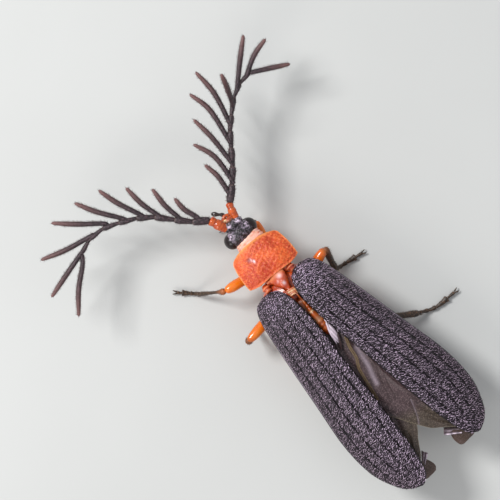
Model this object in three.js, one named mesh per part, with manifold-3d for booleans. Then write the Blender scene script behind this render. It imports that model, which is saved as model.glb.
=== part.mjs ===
// A male firefly with comb-like antennae, standing on its six feet with the wing covers a little open.
// Life size, in millimetres: +Y is forward, +X the animal's right, +Z up. The floor is z = 0.
import * as THREE from "three";
import { mergeVertices } from "three/addons/utils/BufferGeometryUtils.js";
import Module from "manifold-3d";

const wasm = await Module();
wasm.setup();

// Driving sizes
const THICK = 0.5; // wing covers, wings, pronotum, and the least thickness of legs and feelers
const GAP = 0.3; // between the broad pieces that lie over one another
const JOINT = 0.15; // between the small pieces of a limb and what they grow from
const VEIN = 0.07; // how far a vein or a rib of the wing cover stands up
const BODY_YAW = THREE.MathUtils.degToRad(-5.5); // the pronotum turns a little to the animal's right
const PRONOTUM_AT = new THREE.Vector3(0.1, 1.6, 0);

// Colours
const COLOURS = {
  orange: 0xd8561c,
  red: 0xb8431c,
  amber: 0xe07a1e,
  cuticle: 0x3a3238,
  head: 0x29232a,
  eye: 0x120d0f,
  membrane: 0x6b5c58,
  neck: 0xe8a888,
  tarsus: 0x3b2a22,
};

const point = (x, y, z = 0) => new THREE.Vector3(x, y, z);

// Maths

// A smooth value along a run, through the given [place, value] pairs in rising order of place.
function profile(keys) {
  const last = keys.length - 1;
  const slopes = keys.map((_, i) => {
    const [x0, y0] = keys[Math.max(i - 1, 0)];
    const [x1, y1] = keys[Math.min(i + 1, last)];
    return (y1 - y0) / (x1 - x0);
  });
  return (place) => {
    const s = THREE.MathUtils.clamp(place, keys[0][0], keys[last][0]);
    const i = Math.min(keys.filter(([x]) => x <= s).length, last) - 1;
    const h = keys[i + 1][0] - keys[i][0];
    const t = (s - keys[i][0]) / h;
    const start = keys[i][1] * (1 + 2 * t) + slopes[i] * h * t;
    const end = keys[i + 1][1] * (3 - 2 * t) - slopes[i + 1] * h * (1 - t);
    return start * (1 - t) ** 2 + end * t * t;
  };
}

const steps = (count) => Array.from({ length: count + 1 }, (_, i) => i / count);
const mirrored = (p, side) => point(p.x * side, p.y, p.z);

// Solids

function solidOf(geometry) {
  const bare = geometry.clone();
  bare.deleteAttribute("normal");
  bare.deleteAttribute("uv");
  const merged = mergeVertices(bare, 1e-4);
  const make = (triVerts) =>
    new wasm.Manifold(
      new wasm.Mesh({ numProp: 3, vertProperties: merged.attributes.position.array, triVerts }),
    );
  const solid = make(new Uint32Array(merged.index.array));
  return solid.volume() > 0 ? solid : make(new Uint32Array(merged.index.array).reverse());
}

function solidFrom(points, faces) {
  const geometry = new THREE.BufferGeometry().setFromPoints(points);
  geometry.setIndex(faces.flat());
  return solidOf(geometry);
}

// A closed tube through rings of points that all have the same count.
function loft(rings) {
  const n = rings[0].length;
  const points = rings.flat();
  const faces = [];
  for (let r = 0; r + 1 < rings.length; r += 1) {
    for (let i = 0; i < n; i += 1) {
      const a = r * n + i;
      const b = r * n + ((i + 1) % n);
      faces.push([a, b, b + n], [a, b + n, a + n]);
    }
  }
  [0, rings.length - 1].forEach((r) => {
    const centre = rings[r].reduce((sum, p) => sum.add(p), point(0, 0)).divideScalar(n);
    points.push(centre);
    for (let i = 0; i < n; i += 1) {
      const edge = [r * n + i, r * n + ((i + 1) % n)];
      faces.push([points.length - 1, ...(r ? edge : edge.reverse())]);
    }
  });
  return solidFrom(points, faces);
}

// A closed plate between two grids of points, split into triangles alike on both faces.
function plate(top, bottom) {
  const rows = top.length;
  const columns = top[0].length;
  const points = [...top.flat(), ...bottom.flat()];
  const under = rows * columns;
  const at = (r, c) => r * columns + c;
  const faces = [];
  for (let r = 0; r + 1 < rows; r += 1) {
    for (let c = 0; c + 1 < columns; c += 1) {
      const [a, b, d, e] = [at(r, c), at(r, c + 1), at(r + 1, c + 1), at(r + 1, c)];
      faces.push([a, b, d], [a, d, e], [a + under, d + under, b + under], [a + under, e + under, d + under]);
    }
  }
  const rim = [
    ...steps(columns - 1).map((_, c) => at(0, c)),
    ...steps(rows - 1).map((_, r) => at(r, columns - 1)).slice(1),
    ...steps(columns - 1).map((_, c) => at(rows - 1, columns - 1 - c)).slice(1),
    ...steps(rows - 1).map((_, r) => at(rows - 1 - r, 0)).slice(1, -1),
  ];
  rim.forEach((a, i) => {
    const b = rim[(i + 1) % rim.length];
    faces.push([a, a + under, b + under], [a, b + under, b]);
  });
  return solidFrom(points, faces);
}

// A ring of points round a centre, across two half axes; a larger squareness makes it boxier.
function ring(centre, across, up, count, squareness = 1) {
  return steps(count).slice(0, -1).map((share) => {
    const angle = share * 2 * Math.PI;
    const round = (v) => Math.sign(v) * Math.abs(v) ** (1 / squareness);
    return centre.clone().addScaledVector(across, round(Math.cos(angle))).addScaledVector(up, round(Math.sin(angle)));
  });
}

// A limb or feeler: a tube along a curve through the points, with a half width and a half height at each place.
function limb({ path, wide, high = wide, sides = 8, count = 6, grow = 0 }) {
  const curve = new THREE.CatmullRomCurve3(path);
  const width = profile(wide);
  const height = profile(high);
  const rings = steps(count).map((s) => {
    const along = curve.getTangent(s);
    const across = point(along.y, -along.x, 0).normalize();
    const up = across.clone().cross(along).normalize();
    const reach = s === 0 ? -grow : s === 1 ? grow : 0;
    const centre = curve.getPoint(s).addScaledVector(along, reach);
    return ring(centre, across.multiplyScalar(width(s) + grow), up.multiplyScalar(height(s) + grow), sides);
  });
  return loft(rings);
}

// A body section: rings across the Y axis, each from profiles of its half width, its top and its bottom.
function trunk({ from, to, wide, top, bottom, turn = new THREE.Matrix4(), sides = 16, count = 8, grow = 0 }) {
  const width = profile(wide);
  const high = profile(top);
  const low = profile(bottom);
  const rings = steps(count).map((s) => {
    const y = THREE.MathUtils.lerp(from, to, s);
    const reach = (s === 0 ? -grow : s === 1 ? grow : 0) * Math.sign(to - from);
    const middle = (high(y) + low(y)) / 2;
    const across = point(width(y) + grow, 0);
    const up = point(0, 0, (high(y) - low(y)) / 2 + grow);
    return ring(point(0, y + reach, middle), across, up, sides, 1.25).map((p) => p.applyMatrix4(turn));
  });
  return loft(rings);
}

function ball(centre, radii, grow = 0, detail = 16) {
  const geometry = new THREE.SphereGeometry(1, detail, detail / 2);
  geometry.rotateX(Math.PI / 2);
  geometry.scale(...radii.map((r) => r + grow));
  geometry.translate(centre.x, centre.y, centre.z);
  return solidOf(geometry);
}

// Everything on the far side of a plane, as a large block.
function beyond(at, normal, size = 40) {
  const geometry = new THREE.BoxGeometry(size, size, size);
  geometry.translate(0, 0, size / 2);
  geometry.applyQuaternion(new THREE.Quaternion().setFromUnitVectors(point(0, 0, 1), normal.clone().normalize()));
  geometry.translate(at.x, at.y, at.z);
  return solidOf(geometry);
}

const union = (solids) => solids.reduce((whole, next) => whole.add(next));
const cut = (solid, ...others) => others.reduce((left, next) => left.subtract(next), solid);

// The largest closed body of a solid, cleaned of the slivers that a cut leaves.
function largest(solid) {
  const parts = solid.decompose();
  return parts.reduce((best, next) => (next.volume() > best.volume() ? next : best));
}

const model = new THREE.Group();

function add(name, solid, colour, roughness = 0.5) {
  const whole = largest(solid);
  const { vertProperties, triVerts, numProp } = whole.getMesh();
  if (numProp !== 3) throw new Error(`${name} has ${numProp} numbers to a vertex`);
  const geometry = new THREE.BufferGeometry();
  geometry.setAttribute("position", new THREE.BufferAttribute(vertProperties, 3));
  geometry.setIndex(new THREE.BufferAttribute(triVerts, 1));
  geometry.computeVertexNormals();
  const material = new THREE.MeshStandardMaterial({ color: COLOURS[colour], roughness, metalness: 0 });
  const mesh = new THREE.Mesh(geometry, material);
  mesh.name = name;
  model.add(mesh);
}

const SIDES = [
  ["left", -1],
  ["right", 1],
];

// The dome that both wing covers lie on

const domeRidge = profile([
  [-9.1, 2.6], [-8.2, 2.98], [-6.6, 3.32], [-4, 3.52], [-1.6, 3.46], [-0.3, 3.28], [0.25, 3.02], [0.65, 2.55],
]);
const domeFall = profile([[-9.1, 0.45], [-8, 0.85], [-6, 1.1], [-2, 1.15], [0, 1.0], [0.6, 0.5]]);
const domeHalfWidth = profile([[-9.1, 2.35], [-7.5, 2.75], [-5.9, 2.75], [-4, 2.44], [-1.5, 2.08], [0.6, 1.7]]);

function dome(x, y) {
  return domeRidge(y) - domeFall(y) * Math.min(Math.abs(x) / domeHalfWidth(y), 1.2) ** 2.6;
}

function domeNormal(x, y) {
  const d = 0.01;
  const slopeX = (dome(x + d, y) - dome(x - d, y)) / (2 * d);
  const slopeY = (dome(x, y + d) - dome(x, y - d)) / (2 * d);
  return point(-slopeX, -slopeY, 1).normalize();
}

// A plate that lies a given depth under the dome, between an inner and an outer edge seen from above.
function shellPlate({ inner, outer, depth, across, ribs, rows, side, thick = THICK, grow = 0 }) {
  const columns = grow ? [-grow, ...across.slice(1, -1), 1 + grow] : across;
  const grid = (lift) =>
    steps(rows).map((t) => {
      const a = inner.getPointAt(t);
      const b = outer.getPointAt(t);
      const ease = Math.sin(Math.PI * t) ** 0.4;
      return columns.map((v) => {
        const reach = v < 0 ? -grow : v > 1 ? grow : 0;
        const share = THREE.MathUtils.clamp(v, 0, 1);
        const x = THREE.MathUtils.lerp(a.x, b.x, share) + reach;
        const y = THREE.MathUtils.lerp(a.y, b.y, share) + (t === 0 ? grow : 0);
        const rib = lift > 0 && ribs.includes(v) ? VEIN * ease : 0;
        const height = lift > 0 ? rib + grow - depth : -depth - thick - grow;
        return mirrored(point(x, y, dome(x, y)).addScaledVector(domeNormal(x, y), height), side);
      });
    });
  return plate(grid(1), grid(-1));
}

const edge = (...points) => new THREE.SplineCurve(points.map(([x, y]) => new THREE.Vector2(x, y)));

// Wing covers

const COVER_INNER = edge(
  [0.62, 0.53], [0.35, 0.34], [0.2, 0], [0.16, -1.6], [0.33, -3.2], [0.59, -5.8], [0.8, -7.5], [1.08, -8.6], [1.42, -8.95],
);
const COVER_OUTER = edge(
  [1.0, 0.56], [1.42, 0.4], [1.66, -0.05], [1.86, -0.9], [2.37, -3.8], [2.7, -5.8], [2.68, -7.3], [2.3, -8.35], [1.95, -8.76],
  [1.56, -8.97],
);
const COVER_RIBS = [0.27, 0.5, 0.73];
const COVER_COLUMNS = [0, 0.12, 0.22, 0.27, 0.32, 0.45, 0.5, 0.55, 0.68, 0.73, 0.78, 0.9, 1];
const PLAIN_COLUMNS = [0, 0.25, 0.5, 0.75, 1];

const wingCover = (side) =>
  shellPlate({
    inner: COVER_INNER, outer: COVER_OUTER, depth: 0, across: COVER_COLUMNS, ribs: COVER_RIBS, rows: 21, side,
  });

// The room that a wing cover needs, as a plainer plate
const coverSpace = (side) =>
  shellPlate({
    inner: COVER_INNER, outer: COVER_OUTER, depth: 0, across: PLAIN_COLUMNS, ribs: [], rows: 12, side, grow: GAP * 0.8,
  });

// Hind wings, folded under the covers, with the turned-in tip showing behind

const WING_INNER = edge(
  [0.5, -1.72], [0.24, -2.2], [0.17, -3.2], [0.17, -6.7], [0.3, -7.2], [0.6, -7.8], [0.42, -8.1], [0.58, -8.6], [0.8, -8.88],
);
const WING_OUTER = edge([0.9, -1.65], [1.35, -2.2], [1.75, -3.6], [2.1, -5.6], [2.1, -7], [1.75, -8.2], [1.15, -8.9]);
const WING_VEINS = [0.25, 0.5, 0.75];
const WING_COLUMNS = [0, 0.12, 0.2, 0.25, 0.3, 0.45, 0.5, 0.55, 0.7, 0.75, 0.8, 1];

const WING_DEPTH = THICK + GAP + VEIN;

const hindWing = (side) =>
  shellPlate({
    inner: WING_INNER, outer: WING_OUTER, depth: WING_DEPTH, across: WING_COLUMNS, ribs: WING_VEINS, rows: 18, side,
  });

const wingSpace = (side) =>
  shellPlate({
    inner: WING_INNER, outer: WING_OUTER, depth: WING_DEPTH, across: PLAIN_COLUMNS, ribs: [], rows: 18, side,
    grow: GAP * 0.8,
  });

const coverRoom = SIDES.map(([, side]) => coverSpace(side));
const wingRoom = SIDES.map(([, side]) => wingSpace(side));
SIDES.forEach(([label, side]) => {
  add(`elytron_${label}`, wingCover(side), "cuticle", 0.6);
  add(`hindwing_${label}`, hindWing(side), "membrane", 0.4);
});

// Pronotum and prothorax, which turn together

const proTurn = new THREE.Matrix4().makeRotationZ(BODY_YAW).setPosition(PRONOTUM_AT);
const pronotumHalfWidth = profile([[0, 0.8], [0.05, 0.96], [0.12, 1.06], [0.28, 1.13], [0.5, 1.18], [0.72, 1.2], [1, 1.19]]);

function pronotumPlate(grow = 0) {
  const columns = [-1, -0.93, -0.75, -0.45, -0.08, 0, 0.08, 0.45, 0.75, 0.93, 1];
  const grid = (lift) =>
    [0, 0.05, 0.14, 0.32, 0.55, 0.8, 0.95, 1].map((v) =>
      columns.map((u) => {
        const frontEdge = 0.84 - 0.11 * Math.abs(u) ** 3;
        const hindEdge = -0.74 + 0.17 * Math.abs(u) ** 4 + 0.04 * Math.cos(u * Math.PI);
        const x = u * (pronotumHalfWidth(v) + grow);
        const y = THREE.MathUtils.lerp(frontEdge + grow, hindEdge - grow, v);
        const aside = Math.abs(x) / pronotumHalfWidth(v);
        const back = (frontEdge - y) / (frontEdge - hindEdge);
        const rim = Math.abs(u) === 1 || v === 0 || v === 1 ? 0.05 : 0;
        const crown = 2.74 - 0.3 * aside ** 2.2 - 0.14 * (1 - back) ** 2 - 0.06 * back ** 4;
        const furrow = u === 0 ? 0.05 * Math.sin(Math.PI * v) : 0;
        const z = lift > 0 ? crown + rim - furrow + grow : crown - THICK - grow;
        return point(x, y, z).applyMatrix4(proTurn);
      }),
    );
  return plate(grid(1), grid(-1));
}

const prothoraxShape = (grow = 0) =>
  trunk({
    from: 0.48, to: -0.62, turn: proTurn, count: 4, grow,
    wide: [[-0.62, 0.72], [-0.2, 0.86], [0.25, 0.8], [0.48, 0.62]],
    top: [[-0.62, 2.4], [0.48, 2.3]],
    bottom: [[-0.62, 1.2], [0, 1.1], [0.48, 1.25]],
  });

const pronotum = pronotumPlate();
const pronotumRoom = pronotumPlate(JOINT);
const prothorax = cut(prothoraxShape(), pronotumRoom);
add("pronotum", pronotum, "orange", 0.55);
add("prothorax", prothorax, "amber", 0.45);

// Scutellum, mesothorax and metathorax

function scutellumPlate(grow = 0) {
  const halfWidth = profile([[-0.12, 0.1], [0.05, 0.13], [0.22, 0.24], [0.42, 0.34], [0.7, 0.3]]);
  const ridge = profile([[-0.12, 2.98], [0.12, 2.95], [0.45, 2.86], [0.7, 2.6]]);
  const grid = (lift) =>
    steps(6).map((v) =>
      [-1, -0.6, 0, 0.6, 1].map((u) => {
        const y = THREE.MathUtils.lerp(0.7 + grow, -0.12 - grow, v);
        const z = ridge(y) - 0.12 * u * u + (lift > 0 ? grow : -THICK - grow);
        return point(0.03 + u * (halfWidth(y) + grow), y, z);
      }),
    );
  return plate(grid(1), grid(-1));
}

const mesothoraxShape = (grow = 0) =>
  union([
    trunk({
      from: 0.74, to: -0.32, count: 4, grow,
      wide: [[-0.32, 1.4], [0.2, 1.25], [0.55, 0.95], [0.74, 0.72]],
      top: [[-0.32, 2.78], [0.3, 2.62], [0.74, 2.32]],
      bottom: [[-0.32, 1.05], [0.74, 1.2]],
    }),
    ...SIDES.map(([, side]) => ball(point(0.66 * side, 0.7, 2.36), [0.2, 0.2, 0.2], grow, 8)),
  ]);

const metathoraxShape = (grow = 0) =>
  trunk({
    from: -0.32 - JOINT, to: -2.35, count: 6, grow,
    wide: [[-2.35, 1.3], [-1.4, 1.5], [-0.5, 1.45]],
    top: [[-2.35, 1.9], [-1.9, 2.3], [-1.5, 2.72], [-0.47, 2.74]],
    bottom: [[-2.35, 1.0], [-1.2, 0.98], [-0.47, 1.05]],
  });

const scutellum = cut(scutellumPlate(), ...coverRoom);
const scutellumRoom = scutellumPlate(JOINT);
const prothoraxRoom = prothoraxShape(JOINT);
const mesothorax = cut(mesothoraxShape(), ...coverRoom, scutellumRoom, prothoraxRoom, pronotumRoom);
const metathorax = cut(metathoraxShape(), ...coverRoom, ...wingRoom);
add("scutellum", scutellum, "red", 0.3);
add("mesothorax", mesothorax, "red", 0.35);
add("metathorax", metathorax, "amber", 0.4);

// Abdomen: seven overlapping rings that narrow to the tail

const ABDOMEN_FROM = -2.35 - JOINT;
const ABDOMEN_TO = -6.65;
const ABDOMEN_RINGS = 7;

function abdomenShape() {
  const width = profile([[0, 1.12], [0.2, 1.42], [0.5, 1.5], [0.8, 1.15], [1, 0.55]]);
  const height = profile([[0, 0.42], [0.5, 0.44], [0.8, 0.36], [1, 0.24]]);
  const rings = [];
  for (let i = 0; i < ABDOMEN_RINGS; i += 1) {
    [[0, 0.94], [0.22, 0.98], [0.95, 1.01], [1, 0.94]].forEach(([part, swell]) => {
      const s = (i + part) / ABDOMEN_RINGS;
      if (part === 1 && i + 1 < ABDOMEN_RINGS) return;
      const y = THREE.MathUtils.lerp(ABDOMEN_FROM, ABDOMEN_TO, s);
      const centre = point(0, y, 1.36 - 0.06 * s);
      rings.push(ring(centre, point(width(s) * swell, 0), point(0, 0, height(s) * swell), 14, 1.3));
    });
  }
  return loft(rings);
}


// Neck, head, eyes and mouthparts

const HEAD_AT = point(0.15, 2.98, 1.93);
const EYE_RADIUS = 0.34;
const EYE_SPREAD = 0.45;
const EYE_SEAT = 0.42; // how far from the middle of the head the flat back of each eye stands
const EYE_GAP = 0.12;

const headShape = (grow = 0) =>
  union([
    ball(HEAD_AT, [0.6, 0.46, 0.46], grow, 16),
    ball(point(HEAD_AT.x, HEAD_AT.y + 0.38, HEAD_AT.z - 0.03), [0.42, 0.3, 0.34], grow, 12),
  ]);

function eyeShape(side, grow = 0) {
  const at = point(HEAD_AT.x + EYE_SPREAD * side, HEAD_AT.y - 0.05, HEAD_AT.z - 0.02);
  const seat = point(HEAD_AT.x + (EYE_SEAT - grow) * side, 0);
  return cut(ball(at, [EYE_RADIUS, EYE_RADIUS, EYE_RADIUS], grow, 14), beyond(seat, point(-side, 0)));
}

const neckShape = (grow = 0) =>
  limb({
    path: [point(0.2, 1.9, 1.8), point(0.19, 2.3, 1.84), point(0.18, 2.78, 1.88)],
    wide: [[0, 0.6], [1, 0.52]], high: [[0, 0.42], [1, 0.4]], sides: 12, count: 4, grow,
  });

const mouthShape = (grow = 0) =>
  union([
    ball(point(0.15, 3.7, 1.67), [0.3, 0.26, 0.25], grow, 10),
    ...SIDES.map(([, side]) =>
      limb({
        path: [
          point(0.15 + 0.18 * side, 3.7, 1.7), point(0.15 + 0.2 * side, 3.88, 1.66), point(0.15 + 0.04 * side, 3.99, 1.62),
        ],
        wide: [[0, 0.14], [0.6, 0.12], [1, 0.04]], high: [[0, 0.2], [0.6, 0.18], [1, 0.06]], sides: 6, count: 3, grow,
      }),
    ),
  ]);

const palpShape = (side) =>
  limb({
    path: side < 0
      ? [point(-0.3, 3.46, 1.5), point(-0.3, 3.82, 1.36), point(-0.14, 4.32, 1.42)]
      : [point(0.62, 3.44, 1.5), point(0.66, 3.7, 1.36), point(0.56, 4.0, 1.38)],
    wide: [[0, 0.2], [0.3, 0.17], [0.55, 0.25], [0.8, 0.25], [1, 0.1]], sides: 6, count: 5,
  });

const headWhole = headShape();
const headRoom = headShape(JOINT);
const eyes = SIDES.map(([, side]) => eyeShape(side));
const eyeRoom = SIDES.map(([, side]) => eyeShape(side, EYE_GAP));
const head = cut(headWhole, ...eyeRoom);
add("head", head, "head", 0.5);
SIDES.forEach(([label], i) => add(`eye_${label}`, eyes[i], "eye", 0.1));
add("neck", cut(neckShape(), headRoom, ...eyeRoom, prothoraxRoom, pronotumRoom), "neck", 0.4);
add("mouthparts", cut(mouthShape(), headRoom), "orange", 0.4);
const mouthRoom = mouthShape(JOINT);

// Antennae: an orange base of two joints, then a dark feeler of nine joints with a comb of rays

const ANTENNAE = {
  left: {
    base: [point(-0.12, 3.36, 2.1), point(-0.25, 3.74, 2.2), point(-0.36, 4.06, 2.24)],
    stem: [
      point(-0.4, 4.16, 2.25), point(-1.36, 5.12, 2.34), point(-2.4, 6.2, 2.42), point(-3.6, 6.8, 2.42),
      point(-4.8, 6.66, 2.36),
    ],
    tip: [point(-5.3, 6.22, 2.33), point(-5.95, 5.68, 2.3), point(-6.61, 4.97, 2.26)],
    rays: [[1.2, -4, 8], [1.5, 1, 10], [1.7, -6, 6], [1.92, -16, 6], [1.97, -28, 4], [2.1, -45, 2], [2.25, -72, 0], [2.28, -102, -3]],
    bend: 10,
  },
  right: {
    base: [point(0.42, 3.36, 2.1), point(0.52, 3.74, 2.2), point(0.64, 4.02, 2.24)],
    stem: [
      point(0.72, 4.13, 2.25), point(1.72, 5.02, 2.34), point(2.6, 6.06, 2.42), point(3.6, 6.88, 2.42),
      point(4.68, 7.2, 2.36),
    ],
    tip: [point(4.95, 7.04, 2.33), point(5.45, 6.72, 2.3), point(6.09, 6.33, 2.26)],
    rays: [[1.5, 10, 6], [1.97, -2, 8], [2.06, 2, 6], [2.27, 4, 4], [2.29, 9, 4], [2.09, 21, 56], [1.87, 50, 6], [1.5, 72, 8]],
    bend: -12,
  },
};
const RAY_WIDE = 0.14; // half the width of a ray, seen from above
const RAY_HIGH = 0.25; // half its depth
const RAY_SIDES = 6;
const STEM_JOINTS = 8;

const baseShape = ({ base }, grow = 0) =>
  limb({
    path: base, wide: [[0, 0.18], [0.25, 0.25], [0.6, 0.24], [0.7, 0.2], [0.85, 0.25], [1, 0.22]],
    sides: 8, count: 6, grow,
  });

// A ray leaves the stem near the far end of its joint and curves; turn is clockwise from forward, lift above level.
function raySolid(root, [length, turn, lift], bend) {
  const rise = THREE.MathUtils.degToRad(lift);
  const along = (share) => {
    const angle = THREE.MathUtils.degToRad(turn - bend * (2 * share - 1));
    const level = Math.cos(rise);
    return point(Math.sin(angle) * level, Math.cos(angle) * level, Math.sin(rise));
  };
  const path = [root.clone().addScaledVector(along(0), -0.12)];
  [0.3, 0.65, 1].forEach((share) => path.push(root.clone().addScaledVector(along(1 - share), length * share)));
  return limb({
    path, sides: RAY_SIDES, count: 4,
    wide: [[0, RAY_WIDE], [0.8, RAY_WIDE], [1, RAY_WIDE * 0.6]],
    high: [[0, RAY_HIGH], [0.75, RAY_HIGH], [1, RAY_HIGH * 0.5]],
  });
}

function feelerShape({ stem, tip, rays, bend }) {
  const curve = new THREE.CatmullRomCurve3(stem);
  const wide = [];
  steps(STEM_JOINTS).slice(0, -1).forEach((s) => wide.push([s, 0.17], [s + 0.8 / STEM_JOINTS, 0.25]));
  wide.push([1, 0.17]);
  const pieces = [
    limb({ path: stem, wide, sides: 8, count: STEM_JOINTS * 2 }),
    limb({ path: [stem[4], ...tip], sides: RAY_SIDES, count: 5, wide: [[0, 0.19], [0.8, 0.15], [1, 0.08]], high: [[0, 0.24], [0.8, RAY_HIGH], [1, 0.12]] }),
  ];
  rays.forEach((ray, i) => pieces.push(raySolid(curve.getPoint((i + 0.72) / STEM_JOINTS), ray, bend)));
  return union(pieces);
}

const bases = {};
SIDES.forEach(([label]) => {
  const antenna = ANTENNAE[label];
  bases[label] = cut(baseShape(antenna), headRoom);
  add(`antenna_base_${label}`, bases[label], "orange", 0.45);
  add(`antenna_${label}`, cut(feelerShape(antenna), baseShape(antenna, JOINT)), "cuticle", 0.7);
});
const baseRoom = SIDES.map(([label]) => baseShape(ANTENNAE[label], JOINT));
SIDES.forEach(([label, side]) =>
  add(`palp_${label}`, cut(palpShape(side), mouthRoom, headRoom, ...baseRoom), "head", 0.25),
);

// Legs: hip and thigh, shin, and a foot of five joints with two claws, flat underneath at the floor

const LEGS = {
  front_left: {
    hip: point(-0.42, 1.42, 1.0), knee: point(-1.86, 1.74, 1.42), ankle: point(-2.68, 2.36, 0.36),
    foot: [point(-2.95, 2.66), point(-3.32, 3.06)],
  },
  front_right: {
    hip: point(0.58, 1.5, 1.0), knee: point(0.93, 2.85, 1.2), ankle: point(0.42, 3.0, 0.36),
    foot: [point(0.1, 3.24), point(-0.3, 3.56)],
  },
  middle_left: {
    hip: point(-0.5, -0.12, 0.95), knee: point(-2.58, -0.3, 1.42), ankle: point(-2.14, -0.27, 0.36),
    foot: [point(-1.6, -0.25), point(-1.0, -0.2)],
  },
  middle_right: {
    hip: point(0.5, -0.12, 0.95), knee: point(2.1, 0.24, 1.5), ankle: point(1.85, -0.68, 0.36),
    foot: [point(2.4, -0.78), point(3.1, -0.94)],
  },
  hind_left: {
    hip: point(-0.85, -1.95, 0.85), knee: point(-1.8, -3.16, 1.12), ankle: point(-2.1, -4.5, 0.36),
    foot: [point(-2.16, -5.2), point(-2.26, -6.06)],
  },
  hind_right: {
    hip: point(0.85, -1.95, 0.85), knee: point(1.8, -3.26, 1.12), ankle: point(3.05, -4.2, 0.36),
    foot: [point(3.7, -4.5), point(4.68, -4.58)],
  },
};
const HIP_RADIUS = 0.3;
const FOOT_JOINTS = 5;
const FOOT_HIGH = 0.25; // half the depth of a foot, so that it is as thick as the least thickness

const thighShape = ({ hip, knee }, grow = 0) => {
  const bow = hip.clone().lerp(knee, 0.5).add(point(0, 0, 0.06));
  return union([
    limb({
      path: [hip.clone().add(point(-0.35 * hip.x, 0.12, 0.42)), hip],
      wide: [[0, HIP_RADIUS], [1, HIP_RADIUS * 0.8]], sides: 8, count: 1, grow,
    }),
    limb({
      path: [hip, bow, knee], sides: 8, count: 5, grow,
      wide: [[0, 0.2], [0.25, 0.24], [0.6, 0.26], [0.88, 0.24], [1, 0.15]],
    }),
  ]);
};

const shinShape = ({ knee, ankle }, grow = 0) => {
  const bow = knee.clone().lerp(ankle, 0.5).add(point(0, 0, 0.05));
  const wide = [[0, 0.16], [0.12, 0.24], [0.5, 0.25], [0.9, 0.26], [1, 0.22]];
  return limb({ path: [knee, bow, ankle], wide, sides: 8, count: 4, grow });
};

// Each joint of the foot widens to its end; the last two carry the lobes and the claws.
function footShape({ ankle, foot }) {
  const level = (p) => point(p.x, p.y, FOOT_HIGH * 0.9);
  const curve = new THREE.CatmullRomCurve3([level(ankle), ...foot.map(level)]);
  const wide = [];
  steps(FOOT_JOINTS).slice(0, -1).forEach((s) => wide.push([s, 0.2], [s + 0.8 / FOOT_JOINTS, 0.26]));
  wide.push([1, 0.18]);
  const claws = [-1, 1].map((side) => {
    const end = curve.getPoint(1);
    const along = curve.getTangent(1);
    const across = point(along.y * side, -along.x * side);
    return limb({
      path: [
        end.clone().addScaledVector(along, -0.1).addScaledVector(across, 0.06),
        end.clone().addScaledVector(along, 0.12).addScaledVector(across, 0.14),
        end.clone().addScaledVector(along, 0.26).addScaledVector(across, 0.2).add(point(0, 0, -0.1)),
      ],
      wide: [[0, 0.1], [1, 0.03]], sides: 4, count: 2,
    });
  });
  const path = [level(ankle), ...foot.map(level)];
  const body = limb({ path, wide, high: [[0, FOOT_HIGH], [1, FOOT_HIGH]], sides: 6, count: FOOT_JOINTS * 2 });
  return cut(union([body, ...claws]), beyond(point(0, 0, 0), point(0, 0, -1)));
}

const bodyRoom = [prothoraxRoom, mesothoraxShape(JOINT), metathoraxShape(JOINT)];
Object.entries(LEGS).forEach(([label, leg]) => {
  add(`femur_${label}`, cut(thighShape(leg), ...bodyRoom), "amber", 0.3);
  add(`tibia_${label}`, cut(shinShape(leg), thighShape(leg, JOINT)), "tarsus", 0.55);
  add(`tarsus_${label}`, cut(footShape(leg), shinShape(leg, JOINT)), "tarsus", 0.6);
});
const hindThighs = [LEGS.hind_left, LEGS.hind_right].map((leg) => thighShape(leg, JOINT));
add("abdomen", cut(abdomenShape(), ...wingRoom, ...hindThighs), "amber", 0.45);

// The origin is on the floor, under the middle of the whole animal's box.
const box = new THREE.Box3().setFromObject(model, true);
const middle = box.getCenter(point(0, 0));
model.position.set(-middle.x, -middle.y, -box.min.z);

export default model;
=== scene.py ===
import math

import bmesh
import bpy
import numpy as np
from mathutils import Matrix, Vector


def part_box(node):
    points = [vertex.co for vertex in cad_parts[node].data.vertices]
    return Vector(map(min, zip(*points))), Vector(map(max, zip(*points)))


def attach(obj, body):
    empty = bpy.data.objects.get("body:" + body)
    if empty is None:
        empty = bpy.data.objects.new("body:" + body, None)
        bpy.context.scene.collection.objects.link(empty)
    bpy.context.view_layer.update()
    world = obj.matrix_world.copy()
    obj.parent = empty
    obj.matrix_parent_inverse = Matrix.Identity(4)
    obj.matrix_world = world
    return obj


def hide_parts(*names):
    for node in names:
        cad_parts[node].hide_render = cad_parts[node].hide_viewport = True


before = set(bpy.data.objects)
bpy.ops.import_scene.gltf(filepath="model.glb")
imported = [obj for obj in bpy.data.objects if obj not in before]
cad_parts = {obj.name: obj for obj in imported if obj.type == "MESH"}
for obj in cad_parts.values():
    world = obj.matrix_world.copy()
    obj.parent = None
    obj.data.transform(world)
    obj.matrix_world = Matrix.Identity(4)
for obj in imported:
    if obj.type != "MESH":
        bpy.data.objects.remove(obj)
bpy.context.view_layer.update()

# Places in this script are in millimetres on the animal: +Y towards the head, +X its right, the floor at 0,
# with the middle line of the wing covers at x = 0 and the front of each cover at y = 0.56.
cover_left, cover_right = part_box("elytron_left"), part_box("elytron_right")
MIDLINE = (cover_left[0][0] + cover_right[1][0]) / 2
FRONT = cover_right[1][1]
BODY_TO_FRAME = Matrix.Translation((MIDLINE, FRONT - 0.00056, 0)) @ Matrix.Scale(0.001, 4)
SIDES = (("left", -1), ("right", 1))


def vec(x, y, z=0.0):
    return np.array((x, y, z), float)


def steps(count):
    """Even steps from 0 to 1."""
    return np.linspace(0, 1, count)


def clamp(value):
    return np.clip(value, 0, 1)


def bump(value, middle, width):
    """1 at the middle, falling off softly to both sides."""
    return np.exp(-(((value - middle) / width) ** 2))


def unit(vectors):
    return vectors / np.maximum(np.linalg.norm(vectors, axis=-1, keepdims=True), 1e-9)


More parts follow.
